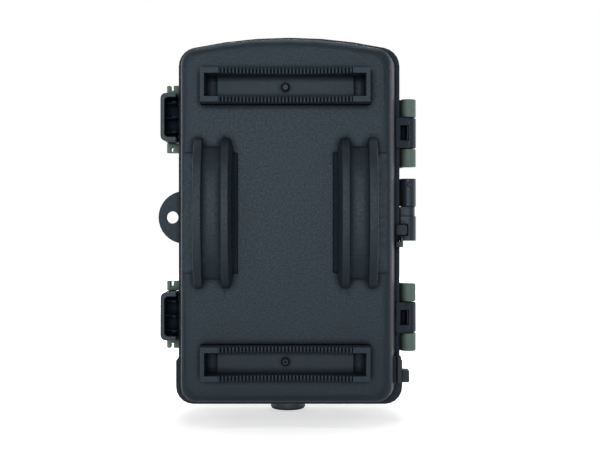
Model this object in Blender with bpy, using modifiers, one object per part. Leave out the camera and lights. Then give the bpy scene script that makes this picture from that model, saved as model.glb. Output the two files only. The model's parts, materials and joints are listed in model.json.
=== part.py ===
"""Trail camera in two hinged halves, with its latches, battery pack, electronics and controls.

Frame: the origin is the centre of the strap bed, on the flat back of the rear cover. The back
faces -Y (towards the tree), the lens faces +Y, +Z is up, and the hinge line is on the +X side.
"""
import math

import bmesh
import bpy
from mathutils import Matrix, Vector

MM = 0.001

# Fits
GAP = 0.3 * MM
PIN_PLAY = 0.25 * MM

# Case outline, shared by both halves
CASE_WIDTH = 81.2 * MM
CASE_CENTRE_X = 1.1 * MM
CASE_TOP = 64.7 * MM
CASE_BOTTOM = -70.0 * MM
CROWN_RADIUS = 166.0 * MM
TOP_CORNER = 7.0 * MM
BOTTOM_CORNER = 6.4 * MM
HOLLOW_CORNER = 4.0 * MM
CHIN_FLARE = 1.0 * MM
CHIN_TOP = -52.8 * MM
CHIN_RUN = 1.2 * MM
CORNER_SHRINK = 0.3
CORNER_STEPS = 5
CROWN_STEPS = 3

# Rear cover: a dish from the flat back (Y = 0) to the parting plane
REAR_DEPTH = 22.0 * MM
RIM_THICKNESS = 3.6 * MM
RIM_EDGE = 0.6 * MM
RIM_STEP = 1.5 * MM
BACK_INSET = 3.3 * MM
BACK_FILLET = 3.0 * MM
WALL = 2.2 * MM
GROOVE_INSET = 1.3 * MM
GROOVE_WIDTH = 1.5 * MM
GROOVE_DEPTH = 1.5 * MM

# Strap guides on the back
GUIDE_HALF_LENGTH = 26.5 * MM
GUIDE_CROWN = 8.0 * MM
GUIDE_CROWN_RADIUS = 90.0 * MM
GUIDE_END_RUN = 10.0 * MM
GUIDE_END_POWER = 2.0
GUIDE_END_ROUND = 1.2 * MM
RIDGE_INNER = (19.7 * MM, 22.35 * MM)
RIDGE_OUTER = (29.05 * MM, 31.95 * MM)
GUIDE_SLOPE = 0.36
GUIDE_DRAFT = 0.1
WEB_DROP = 2.0 * MM
WEB_SHORTER = 3.2 * MM
STRAP_WIDTH = 42.4 * MM
STRAP_CHANNEL = 0.4 * MM
STRAP_ROOF = 1.1 * MM
STRAP_CLEAR = 5.0 * MM
STRAP_ROOF_STEPS = 12

# Tree grips set into the back
GRIP_LENGTH = 58.6 * MM
GRIP_HEIGHT = 11.8 * MM
GRIP_FROM_TOP = 14.7 * MM
GRIP_FROM_BOTTOM = 11.9 * MM
GRIP_SINK = 1.2 * MM
GRIP_FLOOR = 1.4 * MM
GRIP_RAIL = 1.9 * MM
GRIP_END_WALL = 1.4 * MM
GRIP_PROUD = 7.6 * MM
GRIP_DIP = 2.6 * MM
GRIP_TOOTH_DROP = 0.1 * MM
TOOTH_SPAN = 46.6 * MM
TOOTH_COUNT = 38
TOOTH_DEPTH = 1.0 * MM
TOOTH_SHAPE = ((0.0, 1.0), (0.2, 1.0), (0.35, 0.0), (0.8, 0.0))
GRIP_POCKET = 4.0 * MM
SCREW_HEAD_R = 1.5 * MM
SCREW_HEAD = 0.9 * MM
SCREW_SHANK_R = 0.8 * MM
SCREW_EASE = 0.35 * MM

# Hinge line on the right
KNUCKLE_R = 2.9 * MM
KNUCKLE_CLEAR = 0.5 * MM
HINGE_PIN_R = 1.0 * MM
KNUCKLE_LENGTH = 11.1 * MM
KNUCKLE_RIB = 2.8 * MM
BARREL_LENGTH = 6.6 * MM
HINGE_Z = (29.7 * MM, -38.2 * MM)

# Latches on the left
LATCH_Z = (35.3 * MM, -37.6 * MM)
LATCH_LENGTH = 17.6 * MM
LATCH_OUT = 6.4 * MM
LATCH_WALL = 1.6 * MM
LATCH_REACH = 6.0 * MM
LATCH_CORNER = 2.0 * MM
LATCH_RIB = 0.8 * MM
LATCH_RIB_PITCH = 5.45 * MM
LATCH_RIB_SINK = 4.0 * MM
LATCH_PIVOT_OUT = 3.4 * MM
LATCH_PIVOT_AHEAD = 5.0 * MM
LATCH_BARREL_R = 1.9 * MM
LATCH_PIN_R = 0.8 * MM
LATCH_HOOK = (1.7 * MM, 1.4 * MM, 1.0 * MM)
EAR_LENGTH = 3.6 * MM
EAR_SLOT = 1.1 * MM
EAR_SLOT_DEEP = 1.9 * MM

# Padlock ear on both halves
LOCK_EAR_R = 9.7 * MM
LOCK_EAR_OUT = 7.4 * MM
LOCK_EAR_Z = -1.4 * MM
LOCK_EAR_THICK = 3.0 * MM
LOCK_HOLE_R = 2.25 * MM
LOCK_HOLE_EASE = 0.75 * MM
LOCK_HOLE_OUT = 2.3 * MM

# Port on the right wall of the rear half
PORT_UP = 14.0 * MM
PORT_Y = 12.5 * MM
PORT_PAD = 9.6 * MM
PORT_PAD_IN = 2.2 * MM
PORT_HOLE_R = 2.9 * MM
COVER_PLATE = 1.5 * MM
COVER_TAB = 3.1 * MM
COVER_TAB_HEIGHT = 4.4 * MM
COVER_PLUG = 1.2 * MM

# Cable conduit on the hinge line
CONDUIT_TOP = 12.9 * MM
CONDUIT_SPLIT = 2.8 * MM
CONDUIT_NECK_R = 2.5 * MM
CONDUIT_BLOCK = (-10.0 * MM, -1.0 * MM)
LEAD_R = 0.9 * MM
CONDUIT_FOOT = (0.8 * MM, 1.5 * MM, 2.3 * MM)
GROMMET_SIZE = (3.2 * MM, 3.8 * MM)
GROMMET_Z = -6.0 * MM
GROMMET_CORNER = 0.8 * MM
GROMMET_PROUD = 0.9 * MM
GROMMET_DEEP = 1.2 * MM

# Battery pack: eight AA cells in two rows
CELL_R = 7.15 * MM
CELL_LENGTH = 50.2 * MM
CELL_NUB_R = 2.7 * MM
CELL_NUB = 1.2 * MM
CELL_SHOULDER = 0.6 * MM
CELL_FOOT = 0.4 * MM
CELL_COLUMNS = 4
BAY_PLAY = 0.3 * MM
BAY_RIB = 0.7 * MM
TRAY_Y = 5.2 * MM
TRAY_FLOOR = 1.2 * MM
TRAY_WALL = 1.3 * MM
TRAY_RIM_Y = 15.5 * MM
TRAY_CLEAR = 0.4 * MM
TRAY_CORNER = 3.2 * MM
STRIP_THICK = 0.6 * MM
SPRING_LENGTH = 4.2 * MM
SPRING_WIRE_R = 0.32 * MM
SPRING_TURNS = 2.25
SPRING_POINTS = 9
SPRING_BASE_R = 4.4 * MM
SPRING_TIP_R = 2.6 * MM

# Front housing: from its rim to the flat front
FRONT_DEPTH = 30.0 * MM
FRONT_STRAIGHT = 8.0 * MM
FRONT_DRAFT = 2.0 * MM
FRONT_FILLET = 5.0 * MM
FRONT_RIM_WALL = 3.0 * MM
FRONT_WALL = 2.4 * MM

# Front bezel and what looks out through it
BEZEL_INSET = 10.0 * MM
BEZEL_THICK = 2.0 * MM
BEZEL_CORNER = 8.0 * MM
WINDOW_SIZE = (48.0 * MM, 30.0 * MM)
WINDOW_Z = 31.0 * MM
WINDOW_THICK = 1.6 * MM
WINDOW_CORNER = 3.0 * MM
WINDOW_LEDGE = 3.0 * MM
LED_GRID = (7, 4)
LED_PITCH = 5.6 * MM
LED_SIZE = 3.6 * MM
LED_HEIGHT = 2.2 * MM
LED_BOARD_MARGIN = 2.0 * MM
LENS_Z = -4.0 * MM
LENS_HOOD_R = 14.0 * MM
LENS_HOOD = 3.0 * MM
LENS_MOUTH_R = 9.4 * MM
LENS_BARREL_R = 9.9 * MM
LENS_BORE_R = 8.0 * MM
GLASS_R = 8.7 * MM
GLASS_SEAT = 2.0 * MM
GLASS_EDGE = 1.0 * MM
GLASS_RISE = 2.6 * MM
PIR_Z = -41.0 * MM
PIR_R = 12.5 * MM
PIR_RISE = 7.0 * MM
PIR_SKIN = 1.0 * MM
PIR_LIFT = 1.5 * MM
DOME_STEPS = 5
STATUS_R = 1.6 * MM
STATUS_PROUD = 0.5 * MM
STATUS_AT = (15.0 * MM, -22.0 * MM)

# Inner panel, screen and controls, facing the rear half
PANEL_SINK = 2.7 * MM
PANEL_THICK = 1.6 * MM
SCREEN_SIZE = (46.0 * MM, 34.0 * MM)
SCREEN_Z = 30.0 * MM
SCREEN_CORNER = 1.2 * MM
LCD_MARGIN = 2.5 * MM
LCD_THICK = 3.0 * MM
BUTTON_Z = -9.0 * MM
BUTTON_PITCH = 12.5 * MM
BUTTON_ROW = 10.0 * MM
BUTTON_SIZE = (8.4 * MM, 6.4 * MM)
BUTTON_PROUD = 1.4 * MM
BUTTON_FLANGE = 1.0 * MM
BUTTON_OVERHANG = 0.8 * MM
BUTTON_CORNER = 1.5 * MM
SWITCH_AT = (22.0 * MM, -33.0 * MM)
SWITCH_KNOB = (4.0 * MM, 4.4 * MM)
SWITCH_TRAVEL = 6.0 * MM
SWITCH_PROUD = 1.5 * MM
SWITCH_CARRIER = (1.5 * MM, 1.2 * MM, 1.0 * MM)
SWITCH_CORNER = 0.8 * MM
CARD_SIZE = (24.0 * MM, 2.1 * MM, 32.0 * MM)
CARD_X = -19.0 * MM
CARD_LOW = -52.5 * MM
CARD_PUSH = 1.2 * MM
CARD_BEHIND = 1.4 * MM
CARD_NOTCH = (3.0 * MM, 4.0 * MM)
CARD_SOCKET_WALL = 0.8 * MM
WELL_TOP = -46.0 * MM
WELL_LOW = -58.5 * MM
WELL_MARGIN = 2.5 * MM
WELL_CORNER = 2.0 * MM
USB_AT = (21.0 * MM, -52.0 * MM)
USB_SIZE = (8.0 * MM, 4.0 * MM)
USB_LONG = 8.0 * MM
USB_SKIN = 0.6 * MM
POST_R = 3.0 * MM
POST_INSET = 8.2 * MM
PANEL_SCREW_R = 2.4 * MM
PANEL_SCREW_HEAD = 1.2 * MM
PANEL_SHANK_R = 1.2 * MM
BOARD_BEHIND = 10.0 * MM
BOARD_THICK = 1.6 * MM
BOARD_SIZE = (54.0 * MM, 96.0 * MM)
BOARD_Z = -3.0 * MM
BOARD_CORNER = 2.0 * MM
BOARD_POST_R = 2.0 * MM
BOARD_POST_INSET = 3.0 * MM
BOARD_POST_Z = (6.5 * MM, -13.5 * MM)
SENSOR_SIZE = 10.0 * MM
SENSOR_THICK = 1.4 * MM
PIR_CAN_R = 4.6 * MM
PIR_CAN = 6.0 * MM
CAN_EASE = 0.4 * MM

# Tripod boss under the front half
BOSS_X = 0.5 * MM
BOSS_AHEAD = 15.0 * MM
BOSS_R = 6.6 * MM
BOSS_DROP = 4.5 * MM
BOSS_EDGE = 1.0 * MM
BOSS_PAD_R = 10.5 * MM
BOSS_PAD_DROP = 0.2 * MM
INSERT_R = 4.0 * MM
SOCKET_R = 3.175 * MM
SOCKET_DEEP = 9.0 * MM

# Derived places
CASE_LEFT = CASE_CENTRE_X - CASE_WIDTH / 2
CASE_RIGHT = CASE_CENTRE_X + CASE_WIDTH / 2
HINGE_X = CASE_RIGHT + KNUCKLE_R + KNUCKLE_CLEAR
HINGE_Y = REAR_DEPTH
LATCH_PIVOT_X = CASE_LEFT - LATCH_PIVOT_OUT
LATCH_PIVOT_Y = REAR_DEPTH + LATCH_PIVOT_AHEAD
LATCH_REAR = REAR_DEPTH - LATCH_REACH
LATCH_RIB_BACK = LATCH_REAR + LATCH_RIB_SINK
PORT_Z = CASE_BOTTOM + PORT_UP
PORT_PAD_OUT = CASE_RIGHT - PORT_PAD_IN
FRONT_RIM_Y = REAR_DEPTH + GAP
FRONT_FACE_Y = REAR_DEPTH + FRONT_DEPTH
PANEL_Y = FRONT_RIM_Y + PANEL_SINK
BOARD_Y = PANEL_Y + BOARD_BEHIND
BOSS_AT = (BOSS_X, REAR_DEPTH + BOSS_AHEAD)
BOSS_LOW = CASE_BOTTOM - BOSS_DROP
BOSS_PAD_LOW = CASE_BOTTOM - BOSS_PAD_DROP
BAY_WIDTH = 2 * (CELL_R + BAY_PLAY)
CELL_PITCH = BAY_WIDTH + BAY_RIB
RIM_BACK_Y = REAR_DEPTH - RIM_THICKNESS
GRIP_Z = (
    CASE_TOP - GRIP_FROM_TOP - GRIP_HEIGHT / 2,
    CASE_BOTTOM + GRIP_FROM_BOTTOM + GRIP_HEIGHT / 2,
)
GRIP_SEAT_Y = GRIP_SINK + GRIP_FLOOR + GAP
INNER_FACE_Y = FRONT_FACE_Y - FRONT_WALL
BEZEL_Y = FRONT_FACE_Y + GAP
TRAY_WIDTH = CELL_PITCH * CELL_COLUMNS + 2 * TRAY_WALL
ROW_LENGTH = GAP + CELL_LENGTH + SPRING_LENGTH + GAP + STRIP_THICK / 2
TRAY_LENGTH = 2 * (ROW_LENGTH + STRIP_THICK + GAP + TRAY_WALL)
TRAY_CENTRE = (
    TRAY_WIDTH / 2 - CASE_WIDTH / 2 + BACK_INSET + WALL + TRAY_CLEAR,
    TRAY_LENGTH / 2 + CASE_BOTTOM + BACK_INSET + WALL + TRAY_CLEAR,
)
CELL_Y = TRAY_Y + TRAY_FLOOR + GAP + CELL_R

# Colours: base colour, roughness, metallic
FINISHES = {
    "cover_plastic": ((0.042, 0.053, 0.065), 0.55, 0.0),
    "housing_plastic": ((0.105, 0.140, 0.125), 0.55, 0.0),
    "black_plastic": ((0.012, 0.013, 0.016), 0.45, 0.0),
    "rubber": ((0.015, 0.016, 0.018), 0.75, 0.0),
    "steel": ((0.45, 0.46, 0.47), 0.35, 1.0),
    "dark_steel": ((0.06, 0.06, 0.065), 0.45, 1.0),
    "brass": ((0.60, 0.45, 0.20), 0.35, 1.0),
    "cell_sleeve": ((0.03, 0.06, 0.05), 0.35, 0.0),
    "circuit_board": ((0.02, 0.10, 0.05), 0.50, 0.0),
    "dark_glass": ((0.012, 0.004, 0.004), 0.08, 0.0),
    "clear_glass": ((0.05, 0.06, 0.08), 0.03, 0.0),
    "milky_plastic": ((0.75, 0.75, 0.72), 0.40, 0.0),
    "red_plastic": ((0.45, 0.02, 0.02), 0.30, 0.0),
    "button_plastic": ((0.16, 0.17, 0.18), 0.55, 0.0),
    "card_plastic": ((0.02, 0.05, 0.16), 0.45, 0.0),
}


def clear_scene():
    for obj in list(bpy.data.objects):
        bpy.data.objects.remove(obj, do_unlink=True)


def collection(name):
    group = bpy.data.collections.new(name)
    bpy.context.scene.collection.children.link(group)
    return group


def finish(name):
    """The material of that name, made on first use."""
    material = bpy.data.materials.get(name)
    if material is None:
        colour, roughness, metallic = FINISHES[name]
        material = bpy.data.materials.new(name)
        material.use_nodes = True
        shader = material.node_tree.nodes["Principled BSDF"]
        shader.inputs["Base Color"].default_value = (*colour, 1.0)
        shader.inputs["Roughness"].default_value = roughness
        shader.inputs["Metallic"].default_value = metallic
    return material


def mesh_object(name, mesh_builder):
    """A new object from a bmesh, with its faces turned outward."""
    bmesh.ops.recalc_face_normals(mesh_builder, faces=mesh_builder.faces[:])
    mesh = bpy.data.meshes.new(name)
    mesh_builder.to_mesh(mesh)
    mesh_builder.free()
    obj = bpy.data.objects.new(name, mesh)
    TOOLS.objects.link(obj)
    obj.hide_render = True
    obj.display_type = "WIRE"
    return obj


def box(name, low, high):
    low = Vector(low)
    high = Vector(high)
    builder = bmesh.new()
    place = Matrix.Translation((low + high) / 2) @ Matrix.Diagonal((*(high - low), 1.0))
    bmesh.ops.create_cube(builder, size=1.0, matrix=place)
    return mesh_object(name, builder)


def rod(name, start, end, radius, sides=20):
    start = Vector(start)
    run = Vector(end) - start
    turn = run.to_track_quat("Z", "Y").to_matrix().to_4x4()
    place = Matrix.Translation(start + run / 2) @ turn
    builder = bmesh.new()
    bmesh.ops.create_cone(
        builder,
        cap_ends=True,
        segments=sides,
        radius1=radius,
        radius2=radius,
        depth=run.length,
        matrix=place,
    )
    return mesh_object(name, builder)


def loft(name, rings):
    """A closed body through rings of equally many points, capped at both ends."""
    builder = bmesh.new()
    rows = [[builder.verts.new(point) for point in ring] for ring in rings]
    count = len(rows[0])
    for near, far in zip(rows, rows[1:]):
        for i in range(count):
            j = (i + 1) % count
            builder.faces.new((near[i], near[j], far[j], far[i]))
    builder.faces.new(rows[0])
    builder.faces.new(list(reversed(rows[-1])))
    return mesh_object(name, builder)


AXES = {
    "X": Matrix(((0, 0, 1), (1, 0, 0), (0, 1, 0))),
    "Y": Matrix(((1, 0, 0), (0, 0, -1), (0, 1, 0))),
    "Z": Matrix(((1, 0, 0), (0, 1, 0), (0, 0, 1))),
}


def prism(name, axis, outlines, low, high):
    """Flat outlines extruded along an axis. X takes (y, z), Y takes (x, z) and Z takes (x, y) points."""
    curve = bpy.data.curves.new(name, "CURVE")
    curve.dimensions = "2D"
    curve.fill_mode = "BOTH"
    curve.extrude = (high - low) / 2
    for points in outlines:
        spline = curve.splines.new("POLY")
        spline.points.add(len(points) - 1)
        for target, (u, v) in zip(spline.points, points):
            target.co = (u, v, 0.0, 1.0)
        spline.use_cyclic_u = True
    middle = Vector([(low + high) / 2 if letter == axis else 0.0 for letter in "XYZ"])
    return solid_from_curve(name, curve, Matrix.Translation(middle) @ AXES[axis].to_4x4())


def tube(name, points, radius):
    """A round wire along a list of points, with closed ends."""
    curve = bpy.data.curves.new(name, "CURVE")
    curve.dimensions = "3D"
    curve.bevel_depth = radius
    curve.bevel_resolution = 1
    curve.use_fill_caps = True
    spline = curve.splines.new("POLY")
    spline.points.add(len(points) - 1)
    for target, point in zip(spline.points, points):
        target.co = (*point, 1.0)
    return solid_from_curve(name, curve, Matrix.Identity(4))


def solid_from_curve(name, curve, place):
    """The curve's closed mesh, welded at its caps, as an object of its own."""
    guide = bpy.data.objects.new(name + "_curve", curve)
    bpy.context.scene.collection.objects.link(guide)
    bpy.context.view_layer.update()
    evaluated = guide.evaluated_get(bpy.context.evaluated_depsgraph_get())
    mesh = bpy.data.meshes.new_from_object(evaluated)
    builder = bmesh.new()
    builder.from_mesh(mesh)
    bmesh.ops.remove_doubles(builder, verts=builder.verts[:], dist=1e-7)
    builder.transform(place)
    bpy.data.objects.remove(guide, do_unlink=True)
    bpy.data.meshes.remove(mesh)
    return mesh_object(name, builder)


def turned(name, profile, place, sides=24):
    """A profile of (radius, height) points, from the top down its outer side, turned about its axis."""
    mesh = bpy.data.meshes.new(name)
    points = [(radius, 0.0, height) for radius, height in profile]
    edges = [(i, (i + 1) % len(points)) for i in range(len(points))]
    on_axis = profile[0][0] == 0.0 and profile[-1][0] == 0.0
    mesh.from_pydata(points, edges[:-1] if on_axis else edges, [])
    obj = bpy.data.objects.new(name, mesh)
    obj.matrix_world = place
    TOOLS.objects.link(obj)
    obj.hide_render = True
    obj.display_type = "WIRE"
    screw = obj.modifiers.new("turn", "SCREW")
    screw.axis = "Z"
    screw.steps = sides
    screw.render_steps = sides
    screw.use_merge_vertices = True
    screw.merge_threshold = 1e-6
    return obj


def along_y(x, y, z):
    """A place for a turned piece whose axis points to +Y."""
    return Matrix.Translation((x, y, z)) @ Matrix.Rotation(-math.pi / 2, 4, "X")


def boolean(obj, other, operation):
    modifier = obj.modifiers.new(operation.lower() + "_" + other.name, "BOOLEAN")
    modifier.operation = operation
    modifier.object = other
    modifier.solver = "EXACT"


def cut(obj, *cutters):
    for cutter in cutters:
        boolean(obj, cutter, "DIFFERENCE")
    return obj


def join(obj, *others):
    for other in others:
        boolean(obj, other, "UNION")
    return obj


def part(obj, material, parent=None, pivot=None):
    """Moves a finished piece to the parts, with its material and its origin on its joint's axis."""
    TOOLS.objects.unlink(obj)
    PARTS.objects.link(obj)
    obj.hide_render = False
    obj.display_type = "TEXTURED"
    obj.data.materials.append(finish(material))
    if obj.data.polygons:
        obj.data.shade_smooth()
        obj.data.set_sharp_from_angle(angle=math.radians(35))
    if pivot is not None:
        obj.data.transform(Matrix.Translation(-Vector(pivot)))
        obj.location = Vector(pivot)
    if parent is not None:
        obj.parent = parent
        obj.matrix_parent_inverse = Matrix.Translation(-parent.location)
    return obj


def empty(name, place, parent=None):
    obj = bpy.data.objects.new(name, None)
    obj.location = place
    PARTS.objects.link(obj)
    if parent is not None:
        obj.parent = parent
        obj.matrix_parent_inverse = Matrix.Translation(-parent.location)
    return obj


def arc(cx, cy, radius, start, end, steps):
    """Points of a circular arc, with both ends, angles in degrees."""
    points = []
    for i in range(steps + 1):
        angle = math.radians(start + (end - start) * i / steps)
        points.append((cx + radius * math.cos(angle), cy + radius * math.sin(angle)))
    return points


def rounded_rectangle(cx, cy, width, height, radius, steps=2):
    x = width / 2 - radius
    y = height / 2 - radius
    points = []
    for sx, sy, start in ((1, -1, -90), (1, 1, 0), (-1, 1, 90), (-1, -1, 180)):
        points += arc(cx + sx * x, cy + sy * y, radius, start, start + 90, steps)
    return points


def case_outline(inset, top_corner, bottom_corner, flare=0.0):
    """The case outline about its centre line, moved in by inset, with the flare of its chin."""
    half = CASE_WIDTH / 2 - inset
    low = CASE_BOTTOM + inset
    crown = CROWN_RADIUS - inset
    crown_z = CASE_TOP - CROWN_RADIUS
    corner_x = half - top_corner
    corner_z = crown_z + math.sqrt((crown - top_corner) ** 2 - corner_x ** 2)
    lean = math.degrees(math.atan2(corner_z - crown_z, corner_x))
    right = arc(half + flare - bottom_corner, low + bottom_corner, bottom_corner, -90, 0, CORNER_STEPS)
    chin = max(CHIN_TOP, low + bottom_corner + 2 * CHIN_RUN)
    right += [(half + flare, chin - CHIN_RUN), (half, chin)]
    right += arc(corner_x, corner_z, top_corner, 0, lean, CORNER_STEPS)
    right += arc(0.0, crown_z, crown, lean, 90, CROWN_STEPS)[1:]
    return right + [(-x, z) for x, z in reversed(right[:-1])]


def rear_ring(y, inset, flare=0.0, hollow=False):
    """One ring of the rear cover, whose back is centred on X = 0 and its rim on the case centre."""
    share = min(inset / (BACK_INSET + BACK_FILLET / 2), 1.0)
    centre = CASE_CENTRE_X * (1.0 - share)
    top_corner = HOLLOW_CORNER if hollow else TOP_CORNER - CORNER_SHRINK * inset
    bottom_corner = HOLLOW_CORNER if hollow else BOTTOM_CORNER - CORNER_SHRINK * inset
    outline = case_outline(inset, top_corner, bottom_corner, flare)
    return [Vector((centre + x, y, z)) for x, z in outline]


def front_ring(y, inset, flare=0.0, hollow=False):
    top_corner = HOLLOW_CORNER if hollow else TOP_CORNER - CORNER_SHRINK * inset
    bottom_corner = HOLLOW_CORNER if hollow else BOTTOM_CORNER - CORNER_SHRINK * inset
    outline = case_outline(inset, top_corner, bottom_corner, flare)
    return [Vector((CASE_CENTRE_X + x, y, z)) for x, z in outline]


def rear_wall_inset(y):
    """How far the outer wall of the rear cover stands in from the rim at that depth."""
    share = (RIM_BACK_Y - y) / (RIM_BACK_Y - BACK_FILLET)
    return RIM_STEP + (BACK_INSET - RIM_STEP) * share


def rear_shell():
    rings = [
        rear_ring(REAR_DEPTH, 0.0, CHIN_FLARE),
        rear_ring(RIM_BACK_Y + RIM_EDGE, 0.0, CHIN_FLARE),
        rear_ring(RIM_BACK_Y + 0.3 * RIM_EDGE, 0.3 * RIM_EDGE, CHIN_FLARE),
        rear_ring(RIM_BACK_Y, RIM_EDGE, CHIN_FLARE),
        rear_ring(RIM_BACK_Y, RIM_STEP),
    ]
    for angle in (0, 22.5, 45, 67.5, 90):
        turn = math.radians(angle)
        inset = BACK_INSET + BACK_FILLET * (1.0 - math.cos(turn))
        rings.append(rear_ring(BACK_FILLET * (1.0 - math.sin(turn)), inset))
    shell = loft("rear_cover", rings)
    floor = WALL + BACK_FILLET / 2
    hollow = [
        rear_ring(REAR_DEPTH + WALL, RIM_STEP + WALL, hollow=True),
        rear_ring(RIM_BACK_Y, RIM_STEP + WALL, hollow=True),
        rear_ring(floor, rear_wall_inset(floor) + WALL, hollow=True),
        rear_ring(WALL, rear_wall_inset(floor) + WALL + BACK_FILLET / 2, hollow=True),
    ]
    return cut(shell, loft("rear_hollow", hollow))


def arch_height(z, half_length, crown):
    """Height of a strap guide's arch over the back at a place along its length."""
    z = abs(z)
    height = crown - z * z / (2 * GUIDE_CROWN_RADIUS)
    run = max(z - (half_length - GUIDE_END_RUN), 0.0) / GUIDE_END_RUN
    return height * math.sqrt(max(1.0 - run ** GUIDE_END_POWER, 0.0))


def arch_stations(half_length):
    shares = (0.0, 0.3, 0.5, 0.62, 0.7, 0.78, 0.85, 0.91, 0.95, 0.975, 0.99, 1.0)
    below = [-half_length * share for share in reversed(shares[1:])]
    return below + [half_length * share for share in shares]


def end_narrowing(z, half_length, corner):
    """How far each side of a ridge draws in at its rounded ends."""
    past = max(abs(z) - (half_length - corner), 0.0)
    return corner - math.sqrt(corner ** 2 - min(past, corner) ** 2)


def guide_ridge(name, side, span, half_length, crown, slopes, corner):
    """One arched ridge, from span[0] to span[1] off the centre line, its foot sunk into the back."""
    rings = []
    for z in arch_stations(half_length):
        height = arch_height(z, half_length, crown)
        narrow = end_narrowing(z, half_length, corner)
        top_in = span[0] + narrow
        top_out = span[1] - narrow
        foot_in = top_in - slopes[0] * height
        foot_out = top_out + slopes[1] * height
        section = [(foot_in, WALL / 2), (foot_in, 0.0), (top_in, -height), (top_out, -height)]
        section += [(foot_out, 0.0), (foot_out, WALL / 2)]
        if height == 0.0:
            section = [(x, max(y, STRAP_CHANNEL)) for x, y in section]
            section[0] = (section[0][0], WALL / 2)
        rings.append([Vector((side * x, y, z)) for x, y in section])
    return loft(name, rings)


def strap_tunnel(name, side):
    """The strap's way under a guide: an arch a little lower than the web between the ridges."""
    half = STRAP_WIDTH / 2
    web = GUIDE_HALF_LENGTH - WEB_SHORTER
    roof = []
    for i in range(STRAP_ROOF_STEPS + 1):
        z = half - STRAP_WIDTH * i / STRAP_ROOF_STEPS
        height = arch_height(z, web, GUIDE_CROWN - WEB_DROP) - STRAP_ROOF
        roof.append((-max(min(height, STRAP_CLEAR), STRAP_CHANNEL), z))
    outline = [(STRAP_CHANNEL, -half), (STRAP_CHANNEL, half)] + roof
    foot = RIDGE_INNER[0] - GUIDE_SLOPE * GUIDE_CROWN - GAP
    low, high = sorted((side * foot, side * (RIDGE_OUTER[1] + WALL)))
    return prism(name, "X", [outline], low, high)


def strap_channel(name, side):
    """Shallow channel that leads the strap from a guide over the edge of the back."""
    foot = RIDGE_OUTER[1] - WALL
    half = STRAP_WIDTH / 2
    low, high = sorted((side * foot, side * CASE_WIDTH / 2))
    return box(name, (low, -GUIDE_CROWN, -half), (high, STRAP_CHANNEL, half))


def add_guides(cover):
    for side, word in ((-1, "left"), (1, "right")):
        cut(cover, strap_channel(word + "_channel", side))
    half = GUIDE_HALF_LENGTH
    crown = GUIDE_CROWN
    corner = GUIDE_END_ROUND
    inner_slopes = (GUIDE_SLOPE, GUIDE_DRAFT)
    outer_slopes = (GUIDE_DRAFT, GUIDE_DRAFT)
    web_span = (RIDGE_INNER[1] - WALL / 4, RIDGE_OUTER[0] + WALL / 4)
    for side, word in ((-1, "left"), (1, "right")):
        join(
            cover,
            guide_ridge(word + "_ridge_in", side, RIDGE_INNER, half, crown, inner_slopes, corner),
            guide_ridge(word + "_ridge_out", side, RIDGE_OUTER, half, crown, outer_slopes, corner),
            guide_ridge(word + "_web", side, web_span, half - WEB_SHORTER, crown - WEB_DROP, (0.0, 0.0), 0.0),
        )
        cut(cover, strap_tunnel(word + "_tunnel", side))


def add_grip_seats(cover):
    for z, word in zip(GRIP_Z, ("upper", "lower")):
        x = GRIP_LENGTH / 2 + GAP
        high = z + GRIP_HEIGHT / 2 + GAP
        low = z - GRIP_HEIGHT / 2 - GAP
        pad_low = (-x - WALL, WALL / 2, low - WALL)
        join(cover, box(word + "_grip_pad", pad_low, (x + WALL, TRAY_Y - GAP, high + WALL)))
        recess = box(word + "_grip_recess", (-x, -WALL, low), (x, GRIP_SEAT_Y, high))
        bore = rod(word + "_grip_bore", (0, 0, z), (0, REAR_DEPTH / 2, z), SCREW_SHANK_R + PIN_PLAY, 12)
        cut(cover, recess, bore)


def hinge_arm(name, low, high, base_x, base):
    """A hinge barrel with its arm, from base_x on the case out to the hinge axis."""
    start, end = (-100, 190) if base[0] < HINGE_Y else (-190, 100)
    outline = arc(HINGE_X, HINGE_Y, KNUCKLE_R, start, end, 12)
    return prism(name, "Z", [outline + [(base_x, base[1]), (base_x, base[0])]], low, high)


def knuckle_rows(z):
    """The rear knuckle between two front barrels, from the top down, as (low, high) pairs."""
    half = KNUCKLE_LENGTH / 2
    upper = (z + half + GAP, z + half + GAP + BARREL_LENGTH)
    lower = (z - half - GAP - BARREL_LENGTH, z - half - GAP)
    return upper, (z - half, z + half), lower


def add_rear_knuckles(cover):
    for z, word in zip(HINGE_Z, ("upper", "lower")):
        low, high = knuckle_rows(z)[1]
        base = (RIM_BACK_Y - RIM_EDGE, REAR_DEPTH - RIM_EDGE)
        knuckle = hinge_arm(word + "_knuckle", low, high, CASE_RIGHT - RIM_STEP, base)
        pocket = box(
            word + "_pocket",
            (CASE_RIGHT + GAP, HINGE_Y - 2 * KNUCKLE_R, low + KNUCKLE_RIB),
            (HINGE_X, HINGE_Y + HINGE_PIN_R + PIN_PLAY, high - KNUCKLE_RIB),
        )
        join(cover, knuckle)
        cut(cover, pocket)
        add_hinge_bore(cover, word + "_rear_bore", low, high)


def add_hinge_bore(obj, name, low, high):
    """A bore on the hinge axis that runs past both ends."""
    margin = GAP / 2
    start = (HINGE_X, HINGE_Y, low - margin)
    end = (HINGE_X, HINGE_Y, high + margin)
    cut(obj, rod(name, start, end, HINGE_PIN_R + PIN_PLAY, 16))


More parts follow.
